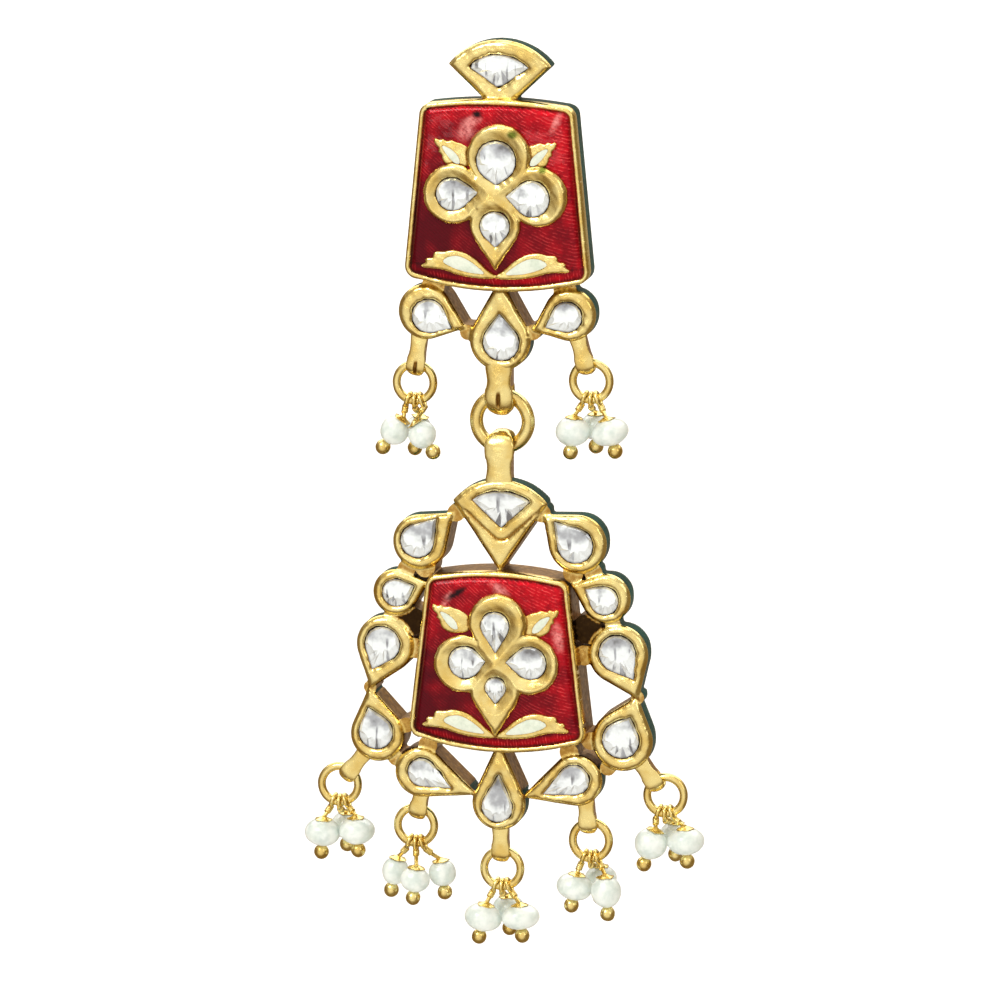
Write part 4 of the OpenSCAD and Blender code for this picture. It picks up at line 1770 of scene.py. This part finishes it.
@dataclass(frozen=True)
class PearlSpot:
    """A pearl's middle, its drilling's lean, its width and its height."""

    x: float
    y: float
    z: float
    lean: float
    width: float
    height: float

    def down(self) -> Array:
        """The way down the drilling."""
        return np.array([math.sin(math.radians(self.lean)), 0.0, -math.cos(math.radians(self.lean))])

    def below(self, distance: float) -> Array:
        """The point of the drilling that lies a distance below the pearl's middle."""
        return np.array([self.x, self.y, self.z]) + distance * self.down()

    def bead(self) -> Bead:
        """The pearl as a bead, a little swollen."""
        return Bead(self.below(0), 0.52 * self.width, 0.53 * self.height, self.lean)

    def ball(self) -> Bead:
        """The ball that ends the pin below the pearl."""
        middle = self.below(self.height / 2 + BALL_RADIUS - BALL_SINK)
        return Bead(middle, BALL_RADIUS * 0.98, BALL_RADIUS, self.lean)


DROPS = [
    Drop("upper_left", "upper", -6.96, -17.02, -8, 2.9, slit=0.1),
    Drop("upper_right", "upper", 7.04, -16.35, 15, 2.6),
    Drop("far_left", "pendant", -13.12, -49.44, -38, 2.7),
    Drop("left", "pendant", -6.96, -52.43, -12, 1.9),
    Drop("centre", "pendant", 0.00, -55.53, 0, 2.5),
    Drop("right", "pendant", 7.11, -52.86, 5, 2.3),
    Drop("far_right", "pendant", 13.05, -48.92, 35, 2.3),
]

# Three pearls for each drop, in the drops' order, as the fields of a PearlSpot
PEARL_ROWS = [
    (-8.44, -2.2, -20.76, -35, 2.15, 2.20),
    (-7.11, 0.1, -21.00, -10, 2.00, 2.00),
    (-6.05, -3.0, -20.85, 33, 2.05, 2.05),
    (5.76, -2.4, -20.19, -6, 2.55, 2.20),
    (7.05, 0.2, -20.24, 0, 2.40, 2.00),
    (8.69, -2.4, -20.12, 16, 2.80, 2.00),
    (-14.33, -2.4, -53.20, -4, 2.70, 2.10),
    (-13.00, 0.2, -53.19, 0, 2.50, 2.00),
    (-11.56, -2.4, -52.92, 4, 2.70, 2.05),
    (-8.79, -1.0, -56.37, -12, 2.00, 2.10),
    (-6.67, -3.2, -56.40, -6, 2.20, 1.90),
    (-5.00, -1.0, -56.34, 8, 2.05, 2.00),
    (-1.35, -2.4, -59.37, -12, 2.80, 2.10),
    (0.05, 0.3, -59.28, 4, 2.50, 2.00),
    (1.65, -2.4, -59.16, 5, 2.80, 1.90),
    (5.92, -2.0, -56.55, -10, 2.75, 2.00),
    (7.40, 0.6, -56.45, 0, 2.40, 2.00),
    (8.60, -2.8, -56.63, 4, 2.25, 2.40),
    (12.06, -2.4, -52.67, -18, 2.40, 2.35),
    (13.50, 0.2, -52.50, 0, 2.40, 2.00),
    (14.85, -2.4, -52.32, 4, 2.75, 2.05),
]
PEARLS = [PearlSpot(*row) for row in PEARL_ROWS]

BAILS = [
    Bail("upper", 0, LINK_Z + LINK_RADIUS, 0, width=2.15, radius=1.6, bore=0.95, neck=2.6, slit=0.2),
    Bail("pendant", 0, LINK_Z - LINK_RADIUS, 180, width=2.2, radius=1.45, bore=0.95, neck=2.9),
    *(drop.bail() for drop in DROPS),
]


@dataclass
class WirePath:
    """A wire's route, whether it closes and its radius."""

    points: Array
    closed: bool
    radius: float

    @classmethod
    def ring(
        cls, x: float, z: float, radius: float, wire: float, steps: int, uneven: float = 0.0
    ) -> "WirePath":
        """A ring in the plane of the bails.

        Args:
            x: Its middle's x.
            z: Its middle's z.
            radius: Its mean radius.
            wire: Its wire's radius.
            steps: The number of its corners.
            uneven: How far it is out of round.

        Returns:
            The ring's route.
        """
        angles = turns(steps)
        radii = radius + uneven * np.sin(2 * angles + x)
        route = [x + radii * np.sin(angles), np.full(steps, -MIDDLE), z + radii * np.cos(angles)]
        return cls(np.column_stack(route), True, wire)


class Bench:
    """A Geometry Nodes tree with named inputs, which works on a mesh and leaves a plain one."""

    def __init__(self, name: str, inputs: dict[str, str]) -> None:
        """Starts the tree.

        Args:
            name: The tree's name.
            inputs: The kind of each input by name. A material input named Skin is among them.
        """
        self.group = bpy.data.node_groups.new(name, "GeometryNodeTree")
        sockets = [("Geometry", "INPUT", "Geometry")]
        sockets += [(key, "INPUT", kind) for key, kind in inputs.items()]
        sockets += [("Geometry", "OUTPUT", "Geometry")]
        self.keys: dict[str, str] = {}
        for key, way, kind in sockets:
            made = self.group.interface.new_socket(key, in_out=way, socket_type=f"NodeSocket{kind}")
            self.keys.setdefault(key, made.identifier)
        self.tree = Tree(self.group)
        self.given = self.tree.add("NodeGroupInput").outputs

    def step(self, kind: str, inputs: Inputs | None = None, **settings: object) -> Socket:
        """A node's first output, with the arguments of Tree.add."""
        return self.tree.add(kind, inputs, **settings).outputs[0]

    def worn(self, scale: object) -> bpy.types.Node:
        """A noise over the surface, which the seed moves."""
        inputs = {"Vector": self.step("GeometryNodeInputPosition"), "W": self.given["Seed"], "Scale": scale}
        return self.tree.add("ShaderNodeTexNoise", {**inputs, "Detail": 1.0}, noise_dimensions="4D")

    def read(self, name: str, kind: str) -> Socket:
        """A named value of the plan's corners."""
        return self.step("GeometryNodeInputNamedAttribute", {"Name": name}, data_type=kind)

    def scaled(self, vector: Socket, scale: Socket) -> Socket:
        """A vector times a number."""
        return self.step("ShaderNodeVectorMath", {0: vector, "Scale": scale}, operation="SCALE")

    def end(self, geometry: Socket, shift: Socket) -> None:
        """Ends the tree: moved by the wear, smooth, real and coated.

        Args:
            geometry: The geometry.
            shift: How far each corner moves.
        """
        moved = self.step("GeometryNodeSetPosition", {"Geometry": geometry, "Offset": shift})
        smooth = self.step("GeometryNodeSetShadeSmooth", {"Geometry": moved})
        real = self.step("GeometryNodeRealizeInstances", {"Geometry": smooth})
        coated = self.step("GeometryNodeSetMaterial", {"Geometry": real, "Material": self.given["Skin"]})
        self.tree.add("NodeGroupOutput", {"Geometry": coated})

    def run(self, name: str, mesh: bpy.types.Mesh, settings: dict[str, object]) -> Thing:
        """Runs the tree on a mesh and keeps the result as a plain one.

        Args:
            name: The new object's name.
            mesh: The mesh that carries the routes or the points. It is removed.
            settings: The values of the tree's inputs by name.

        Returns:
            The new object, without modifiers.
        """
        holder = placed(name + "_plan", mesh)
        modifier = holder.modifiers.new(self.group.name, "NODES")
        modifier.node_group = self.group
        for key, value in settings.items():
            modifier[self.keys[key]] = value
        bpy.context.view_layer.update()
        graph = bpy.context.evaluated_depsgraph_get()
        finished = holder.evaluated_get(graph)
        plain = bpy.data.meshes.new_from_object(finished, preserve_all_data_layers=True, depsgraph=graph)
        plain.name = name
        holder.modifiers.clear()
        bpy.data.objects.remove(holder)
        bpy.data.meshes.remove(mesh)
        return placed(name, plain)


class WireBench(Bench):
    """Draws wires along their routes."""

    def __init__(self) -> None:
        """Builds the tree: routes to curves, and a round section along them."""
        kinds = {"Sides": "Int", "Wear": "Float", "Seed": "Float", "Skin": "Material"}
        super().__init__("drawn_wire", kinds)
        route = self.step("GeometryNodeMeshToCurve", {"Mesh": self.given["Geometry"]})
        gauge = self.read("gauge", "FLOAT")
        curve = self.step("GeometryNodeSetCurveRadius", {"Curve": route, "Radius": gauge})
        round_section = {"Resolution": self.given["Sides"], "Radius": 1.0}
        section = self.step("GeometryNodeCurvePrimitiveCircle", round_section)
        along = {"Curve": curve, "Profile Curve": section, "Fill Caps": True}
        tube = self.tree.add("GeometryNodeCurveToMesh", along)
        if "Scale" in tube.inputs:
            self.tree.feed(tube, {"Scale": self.step("GeometryNodeInputRadius")})
        noise = self.worn(700.0).outputs["Color"]
        centred = self.step("ShaderNodeVectorMath", {0: noise, 1: (0.5, 0.5, 0.5)}, operation="SUBTRACT")
        self.end(tube.outputs[0], self.scaled(centred, self.given["Wear"]))

    def draw(
        self, name: str, wires: Sequence[WirePath], skin: Material, sides: int, wear: float, seed: float
    ) -> Thing:
        """Draws wires as one plain mesh.

        Args:
            name: The object's name.
            wires: The wires.
            skin: The material.
            sides: The number of sides of the round section.
            wear: How far the surface is moved by wear, in metres.
            seed: The seed of the wear.

        Returns:
            The object.
        """
        corners, edges, gauge = [], [], []
        for wire in wires:
            first = len(gauge)
            count = len(wire.points)
            corners.extend((wire.points * MM).tolist())
            edges.extend((first + i, first + i + 1) for i in range(count - 1))
            if wire.closed:
                edges.append((first + count - 1, first))
            gauge.extend([wire.radius * MM] * count)
        plan = bpy.data.meshes.new(name)
        plan.from_pydata(corners, edges, [])
        plan.attributes.new("gauge", "FLOAT", "POINT").data.foreach_set("value", gauge)
        return self.run(name, plan, {"Sides": sides, "Wear": wear, "Seed": seed, "Skin": skin})


class BeadBench(Bench):
    """Sets beads on points."""

    def __init__(self) -> None:
        """Builds the tree: a ball on each point, sized and turned, then its skin made uneven."""
        kinds = {"Segments": "Int", "Swell": "Float", "Grain": "Float", "Seed": "Float", "Skin": "Material"}
        super().__init__("set_beads", kinds)
        parts = self.given["Segments"]
        ball = self.step("GeometryNodeMeshUVSphere", {"Segments": parts, "Rings": parts, "Radius": 1.0})
        size = self.read("size", "FLOAT_VECTOR")
        spin = self.step("FunctionNodeEulerToRotation", {"Euler": self.read("turn", "FLOAT_VECTOR")})
        points = self.step("GeometryNodeMeshToPoints", {"Mesh": self.given["Geometry"]})
        spread = {"Points": points, "Instance": ball, "Rotation": spin, "Scale": size}
        beads = self.step("GeometryNodeInstanceOnPoints", spread)
        real = self.step("GeometryNodeRealizeInstances", {"Geometry": beads})
        noise = self.worn(self.given["Grain"]).outputs[0]
        high = self.tree.math("MULTIPLY", self.tree.math("SUBTRACT", noise, 0.5), self.given["Swell"])
        self.end(real, self.scaled(self.step("GeometryNodeInputNormal"), high))

    def place(
        self,
        name: str,
        beads: Sequence[Bead],
        skin: Material,
        segments: int,
        swell: float,
        grain: float,
        seed: float,
    ) -> Thing:
        """Sets beads as one plain mesh.

        Args:
            name: The object's name.
            beads: The beads.
            skin: The material.
            segments: The number of segments round a bead.
            swell: How far the skin swells, in metres.
            grain: The scale of the swelling.
            seed: The seed of the swelling.

        Returns:
            The object.
        """
        plan = bpy.data.meshes.new(name)
        plan.from_pydata([tuple(bead.middle * MM) for bead in beads], [], [])
        values = {
            "size": np.array([(b.half_width, b.half_width, b.half_height) for b in beads]) * MM,
            "turn": np.array([(0.0, -math.radians(b.lean), 0.0) for b in beads]),
        }
        for key, rows in values.items():
            data = plan.attributes.new(key, "FLOAT_VECTOR", "POINT").data
            data.foreach_set("vector", rows.astype(np.float32).ravel())
        settings = {"Segments": segments, "Swell": swell, "Grain": grain, "Seed": seed, "Skin": skin}
        return self.run(name, plan, settings)


@dataclass
class PearlDrops:
    """The small drops of one body: their rings, their pins with caps and balls, and their pearls."""

    body: str
    wires: WireBench
    beads: BeadBench
    loop_radius: float = 0.53
    neck_rise: float = 0.12
    coil_radius: float = 0.17
    coil_length: float = 0.6
    coil_turns: float = 4.5

    def drops(self) -> list[tuple[Drop, list[PearlSpot]]]:
        """The body's drops, each with its pearls."""
        return [(d, PEARLS[PINS * n : PINS * n + PINS]) for n, d in enumerate(DROPS) if d.body == self.body]

    def pin(self, drop: Drop, pearl: PearlSpot, swing: float) -> list[WirePath]:
        """A head pin's loop, its wrapped neck and its shank down to the ball.

        Args:
            drop: The drop.
            pearl: The pearl on the pin.
            swing: Where the loop sits on the ring, in degrees from its bottom.

        Returns:
            The wires.
        """
        turn = math.radians(swing)
        out = np.array([math.sin(turn), 0.0, -math.cos(turn)])
        front = np.array([0.0, 1.0, 0.0])
        hang = np.array([drop.x, -MIDDLE, drop.z]) + JUMP_RADIUS * out
        angles = turns(32)
        loop = hang + self.loop_radius * (np.outer(np.cos(angles), out) + np.outer(np.sin(angles), front))
        start = hang + (self.loop_radius + 0.04) * out
        end = pearl.below(-(pearl.height / 2 + 0.02)) - self.neck_rise * pearl.down()
        shares = np.linspace(0, 1, 10)[:, None]
        bend = start + (end - start) * 0.5 + 0.12 * out
        shank = (1 - shares) ** 2 * start + 2 * shares * (1 - shares) * bend + shares**2 * end
        along = (end - start) / np.linalg.norm(end - start)
        side = np.cross(along, front)
        side /= np.linalg.norm(side)
        angles = np.linspace(0, 2 * math.pi * self.coil_turns, 82)
        coil = start + np.outer(angles / angles[-1] * self.coil_length - 0.04, along)
        coil += self.coil_radius * np.outer(np.cos(angles), side)
        coil += self.coil_radius * np.outer(np.sin(angles), np.cross(along, side))
        return [
            WirePath(loop, True, PIN_WIRE),
            WirePath(shank, False, PIN_WIRE),
            WirePath(coil, False, 0.62 * PIN_WIRE),
            WirePath(np.array([end, pearl.ball().middle]), False, 0.85 * PIN_WIRE),
        ]

    def cap(self, pearl: PearlSpot, seed: int) -> Shell:
        """The flared cap over a pearl.

        Args:
            pearl: The pearl.
            seed: The seed of the rim's unevenness.

        Returns:
            The cap.
        """
        draw = np.random.default_rng(seed)
        angles = turns(28)
        wave = 0.05 * np.sin(5 * angles + draw.uniform(0, 6))
        wave += 0.03 * np.sin(9 * angles + draw.uniform(0, 6))
        up = -pearl.down()
        side = np.cross(up, [0.0, 1.0, 0.0])
        side /= np.linalg.norm(side)
        circle = np.outer(np.cos(angles), side) + np.outer(np.sin(angles), np.cross(up, side))
        base = pearl.below(0.02 - pearl.height / 2)
        rings = []
        for radius, high in CAP_SECTION:
            wide = CAP_GROW * radius
            spread = wide * (1 + wave * (wide / CAP_RIM) ** 2)
            rings.append(base + spread[:, None] * circle + high * up)
        return loft(np.array(rings))

    def dress(self, finishes: Finishes) -> None:
        """Makes the rings, the pins and the pearls.

        Args:
            finishes: The materials.
        """
        metal, body, drops = finishes[Slot.GOLD_WIRE], self.body, self.drops()
        names = [drop.name for drop, _ in drops]
        routes = [WirePath.ring(d.x, d.z, JUMP_RADIUS, JUMP_WIRE, steps=72, uneven=0.012) for d, _ in drops]
        rings = self.wires.draw(f"{body}_jump_rings", routes, metal, sides=20, wear=0.00004, seed=3.0)
        seat(rings, body, Slot.GOLD_WIRE, [f"{name}_jump_ring" for name in names])
        shanks, balls, caps = [], [], []
        for drop, spots in drops:
            for n, spot in enumerate(spots):
                shanks += self.pin(drop, spot, (n - 1) * PIN_SPREAD)
                balls.append(spot.ball())
                caps.append(self.cap(spot, len(balls)))
        bent = self.wires.draw(f"{body}_pin_wires", shanks, metal, sides=10, wear=0.00002, seed=5.0)
        heads = self.beads.place(
            f"{body}_pin_balls", balls, metal, segments=24, swell=0.00007, grain=1500.0, seed=2.0
        )
        whole = Shell.taken(bent).joined(Shell.taken(heads), *caps)
        pins = whole.to_object(f"{body}_pins", metal, sharp=48)
        seat(pins, body, Slot.GOLD_WIRE, [f"{name}_head_pins" for name in names])
        pearls = [spot.bead() for _, spots in drops for spot in spots]
        skin = finishes[Slot.PEARL]
        strung = self.beads.place(
            f"{body}_seed_pearls", pearls, skin, segments=48, swell=0.0002, grain=620.0, seed=7.0
        )
        seat(strung, body, Slot.PEARL, [f"{name}_pearls" for name in names])


@dataclass
class Link:
    """The thick ring between the two large bails."""

    wires: WireBench
    steps: int = 128

    def dress(self, finishes: Finishes) -> None:
        """Makes the ring.

        Args:
            finishes: The materials.
        """
        route = WirePath.ring(0.0, LINK_Z, LINK_RADIUS, LINK_WIRE, self.steps)
        metal = finishes[Slot.GOLD_WIRE]
        ring = self.wires.draw("link_wire_ring", [route], metal, sides=36, wear=0.00005, seed=1.0)
        seat(ring, "link", Slot.GOLD_WIRE, ["link_ring"])


def rounds(rows: Iterable[Row], lift: float = 0.0) -> list[Round]:
    """Rounds from rows of x, z and radius, lifted by a height."""
    return [Round(x, z + lift, radius) for x, z, radius in rows]


def petals(rows: Iterable[Row], lift: float) -> list[Pear]:
    """Petal stones from rows given from the flower's centre."""
    return [Pear(x, z + lift, radius, tip_x, tip_z + lift) for x, z, radius, tip_x, tip_z in rows]


def top_body() -> EnamelledBody:
    """The body that is worn at the ear.

    Returns:
        The body.
    """
    centre = -1.60
    rows = [
        (-5.80, -11.20, 2.15, -2.60, -12.35, -5.55, -11.50, 1.33, -3.75, -12.40),
        (0.10, -13.20, 2.40, 0.10, -8.30, 0.20, -13.35, 1.45, 0.05, -11.10),
        (5.60, -11.00, 2.05, 2.60, -12.35, 5.40, -11.15, 1.20, 3.70, -12.05),
    ]
    webs = [(-2.50, -12.70, 0.60), (2.70, -12.50, 0.60), (-5.20, -9.10, 0.90), (5.20, -9.10, 0.90)]
    lobes = [(0.30, 2.95, 2.50), (-3.30, -0.10, 2.35), (3.35, -0.10, 2.35), (0.10, 0.10, 2.20)]
    openings = [(-5.2, -11.2), (-2.5, -12.7), (0.1, -13), (2.7, -12.5), (5.1, -11.0), (5.1, -7), (-5.2, -7)]
    return EnamelledBody(
        name="upper",
        plaque=Plaque(6.10, 7.25, 5.25, -8.50, 0.35, 0.75),
        fan=Fan(0.08, 4.03, 8.20, 10.15, 4.40),
        fan_stone=Fan(0.00, 2.35, 8.05, 9.05, 6.45),
        settings=[Setting.of(row) for row in rows],
        webs=rounds(webs),
        open_field=Polygon(openings),
        flower_z=centre,
        lobes=rounds(lobes, centre),
        petals=petals(
            [
                (0.10, 2.60, 1.58, 0.10, 0.72),
                (-3.35, -0.10, 1.30, -1.30, 0.10),
                (2.90, -0.25, 1.42, 0.85, -0.15),
                (0.00, -2.50, 1.18, 0.05, -4.15),
            ],
            centre,
        ),
        leaf_shift=(0.0, 0.0),
        low_leaf_shift=(0.0, 0.0),
        rim_stones="drop",
        flaws=[(-1.49, 4.5, 0.4, 0.25, 0)],
        painted_glare_spots=[(-2.25, 3.35, 1.2, 0.75, 62), (-1.7, 4.05, 0.8, 0.4, 10), (4.7, 4.0, 1.1, 0.35, 65)],
        stains=[(1.43, 3.09, 0.42), (3.78, 0.43, 0.36)],
        shade_spots=[(-3.4, -10.2, 0.5, 0.4, 0), (3.3, -10.2, 0.5, 0.4, 0)],
        seed=11,
    )


def pendant_body() -> EnamelledBody:
    """The large body that hangs from the link ring.

    Returns:
        The body.
    """
    centre = -38.30
    rows = [
        (-6.30, -29.40, 2.15, -3.60, -27.00, -6.50, -29.30, 1.35, -4.95, -27.45),
        (-8.25, -33.50, 1.80, -5.60, -32.60, -8.20, -33.50, 1.12, -6.75, -32.90),
        (-9.10, -37.70, 2.30, -10.30, -41.30, -9.30, -37.65, 1.42, -10.15, -39.75),
        (-9.75, -44.95, 2.15, -10.40, -41.10, -9.85, -44.75, 1.38, -10.45, -42.80),
        (-6.30, -47.80, 2.00, -1.70, -49.40, -6.15, -47.80, 1.15, -3.80, -48.95),
        (0.00, -50.00, 2.12, 0.00, -44.90, -0.10, -50.25, 1.25, 0.05, -47.60),
        (6.20, -47.80, 2.05, 1.80, -49.40, 6.05, -47.75, 1.22, 3.55, -49.05),
        (9.85, -44.45, 2.40, 11.00, -40.80, 9.75, -44.35, 1.48, 10.50, -42.50),
        (9.50, -37.60, 2.35, 11.10, -41.10, 9.45, -37.50, 1.48, 10.75, -39.50),
        (8.50, -33.20, 1.95, 5.70, -32.20, 8.40, -33.35, 1.15, 6.85, -32.45),
        (6.25, -29.00, 2.30, 3.50, -26.80, 6.10, -29.10, 1.42, 4.40, -27.25),
    ]
    webs = [
        (-3.40, -26.95, 0.70), (-5.90, -31.40, 0.80), (-7.40, -31.60, 0.70), (-8.60, -35.35, 0.60),
        (-6.95, -35.75, 1.10), (-6.70, -37.90, 0.80), (-10.35, -41.20, 0.50), (-7.45, -44.10, 0.60),
        (-8.30, -46.80, 0.60), (-5.70, -45.60, 0.75), (5.60, -45.60, 0.75), (8.70, -46.70, 0.60),
        (7.30, -44.60, 0.70), (11.05, -40.95, 0.50), (6.80, -37.80, 0.80), (9.05, -35.20, 0.60),
        (7.00, -35.70, 1.15), (7.50, -31.20, 0.70), (5.90, -31.30, 0.80), (3.40, -26.70, 0.70),
    ]
    lobes = [(0.20, 3.05, 2.30), (-2.60, -0.35, 2.30), (2.65, -0.20, 2.40), (0.05, 0.20, 2.00)]
    between = {
        0: (-7.4, -31.6), 2: (-10.35, -41.2), 3: (-8.3, -46.8),
        6: (8.7, -46.7), 7: (11.05, -40.95), 9: (7.5, -31.2),
    }
    openings = [(-3.4, -26.95)]
    for n, row in enumerate(rows):
        openings.append((row[0], row[1]))
        if n in between:
            openings.append(between[n])
    openings.append((3.4, -26.7))
    return EnamelledBody(
        name="pendant",
        plaque=Plaque(5.70, 7.00, -31.80, -44.85, 0.45, 0.85),
        fan=Fan(0.10, 3.75, -25.95, -24.18, -31.50),
        fan_stone=Fan(0.20, 2.35, -25.80, -25.05, -27.95),
        settings=[Setting.of(row) for row in rows],
        webs=rounds(webs),
        open_field=Polygon([(0.1, -26.5), *openings]),
        flower_z=centre,
        lobes=rounds(lobes, centre),
        petals=petals(
            [
                (0.00, 2.80, 1.15, 0.05, 0.65),
                (-2.40, -0.20, 1.30, -0.75, -0.05),
                (2.80, 0.00, 1.32, 0.85, -0.05),
                (0.05, -2.10, 0.85, 0.05, -3.40),
            ],
            centre,
        ),
        leaf_shift=(-0.2, 0.1),
        low_leaf_shift=(0.0, 0.42),
        rim_stones="rim",
        flaws=[(-3.1, -33.1, 1.0, 0.24, 32)],
        painted_glare_spots=[(0.3, -32.7, 1.1, 0.5, -35), (4.95, -36.2, 1.5, 0.55, 100), (-3.9, -33.6, 0.9, 0.3, 60)],
        stains=[],
        shade_spots=[
            (-6.95, -35.75, 1.5, 1.3, 0),
            (7.0, -35.7, 1.5, 1.3, 0),
            (-7.35, -46.0, 0.5, 0.3, 30),
            (7.7, -45.8, 0.4, 0.25, 0),
        ],
        seed=29,
        groove=0.95,
    )


@dataclass(frozen=True)
class EarPost:
    """The hidden post, which keeps the model's shape and takes a better finish."""

    node: str = "ear_post"
    slot: Slot = Slot.GOLD_WIRE

    def dress(self, finishes: Finishes) -> None:
        """Gives the post its material.

        Args:
            finishes: The materials.
        """
        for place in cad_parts[self.node].material_slots:
            place.material = finishes[self.slot]
        log.info("%s keeps its shape", self.node)


@dataclass(frozen=True)
class Lamp:
    """A soft rectangular lamp: its width and height in metres and its power in watts."""

    name: str
    width: float
    height: float
    power: float

    def lit(self) -> Thing:
        """Makes the lamp, which the camera doesn't see.

        Returns:
            The lamp's object.
        """
        data = bpy.data.lights.new(self.name, "AREA")
        data.shape = "RECTANGLE"
        data.size, data.size_y = self.width, self.height
        data.energy = self.power
        lamp = placed(self.name, data)
        lamp.visible_camera = False
        return lamp


@dataclass
class Studio:
    """The floor, the light and the camera."""

    azimuth: float = 13.0
    elevation: float = 11.5
    focal: float = 260.0
    sensor: float = 36.0
    span: float = 77.5
    look_at: tuple[float, float, float] = (-0.2, -1.9, -25.9)
    floor_z: float = -92.0
    floor_half: float = 30.0
    dim_sides: Colour = (0.25, 0.175, 0.09)

    def floor(self) -> None:
        """A wide pale floor under the hanging earring."""
        mesh = bpy.data.meshes.new("floor")
        half = self.floor_half
        corners = [(x * half, y * half, self.floor_z * MM) for x, y in ((-1, -1), (1, -1), (1, 1), (-1, 1))]
        mesh.from_pydata(corners, [], [(0, 1, 2, 3)])
        material = bpy.data.materials.new("pale_floor")
        material.use_nodes = True
        inputs = {"Base Color": (0.88, 0.88, 0.88, 1), "Roughness": 0.9, "Specular IOR Level": 0.1}
        Tree(material.node_tree).feed(material.node_tree.nodes["Principled BSDF"], inputs)
        mesh.materials.append(material)
        floor = placed("floor", mesh)
        floor.visible_glossy = False

    def aim(self, thing: Thing, azimuth: float, elevation: float, distance: float) -> None:
        """Puts a lamp or the camera round the earring and turns it to face the middle.

        Args:
            thing: The lamp or the camera.
            azimuth: Its direction, in degrees, 0 in front and 90 on the right.
            elevation: Its height over the horizon, in degrees.
            distance: Its distance in metres.
        """
        a, e = math.radians(azimuth), math.radians(elevation)
        away = Vector((math.sin(a) * math.cos(e), -math.cos(a) * math.cos(e), math.sin(e)))
        thing.location = Vector(self.look_at) * MM + away * distance
        thing.rotation_euler = (-away).to_track_quat("-Z", "Y").to_euler()

    def lamps(self) -> None:
        """Lamps round the earring, and one over the floor behind it that keeps the background pale."""
        self.aim(Lamp("key", 0.24, 0.24, 1.8).lit(), -32, 44, 0.7)
        self.aim(Lamp("fill", 0.2, 0.4, 0.5).lit(), 55, 22, 0.8)
        self.aim(Lamp("top", 0.4, 0.25, 0.6).lit(), 5, 80, 0.6)
        self.aim(Lamp("glare", 0.2, 0.03, 0.05).lit(), -14, -1, 0.7)
        Lamp("floor_wash", 2.4, 1.6, 22.0).lit().location = (-0.2, 1.1, 0.9)

    def sky(self) -> None:
        """A plain surround: bright in front, above and behind, dim on both sides, which shades the metal."""
        world = bpy.data.worlds.new("studio")
        bpy.context.scene.world = world
        world.use_nodes = True
        tree = Tree(world.node_tree)
        way = tree.add("ShaderNodeTexCoord").outputs["Generated"]
        axes = tree.add("ShaderNodeSeparateXYZ", {0: way}).outputs
        front = tree.ramp(tree.math("MULTIPLY", axes["Y"], -1.0), 0.38, 0.97)
        back = tree.ramp(axes["Y"], 0.7, 1.0)
        above = tree.ramp(axes["Z"], 0.2, 0.85)
        tone = tree.total((front, 0.75), (back, 0.3), (above, 0.5))
        parts = {n: tree.math("ADD", tone, part) for n, part in enumerate(self.dim_sides)}
        shade = tree.add("ShaderNodeCombineXYZ", parts).outputs[0]
        tree.feed(world.node_tree.nodes["Background"], {"Color": shade, "Strength": 1.0})

    def camera(self) -> None:
        """A long lens at the photograph's viewing angle."""
        data = bpy.data.cameras.new("camera")
        data.lens, data.sensor_width = self.focal, self.sensor
        data.clip_start, data.clip_end = 0.01, 60.0
        half = math.atan(self.sensor / 2 / self.focal)
        camera = placed("camera", data)
        self.aim(camera, self.azimuth, self.elevation, self.span / 2 / math.tan(half) * MM)
        bpy.context.scene.camera = camera

    def set_up(self) -> None:
        """Makes the floor, the surround, the lamps and the camera."""
        self.floor()
        self.sky()
        self.lamps()
        self.camera()
        bpy.context.scene.view_settings.view_transform = "Standard"


def main() -> None:
    """Builds every piece in order."""
    logging.basicConfig(level=logging.INFO, format="%(name)s: %(message)s")
    finishes = Finishes()
    wires = WireBench()
    beads = BeadBench()
    for body in (top_body(), pendant_body()):
        body.dress(finishes)
        PearlDrops(body.name, wires, beads).dress(finishes)
    Link(wires).dress(finishes)
    EarPost().dress(finishes)
    Studio().set_up()


if __name__ == "__main__":
    main()
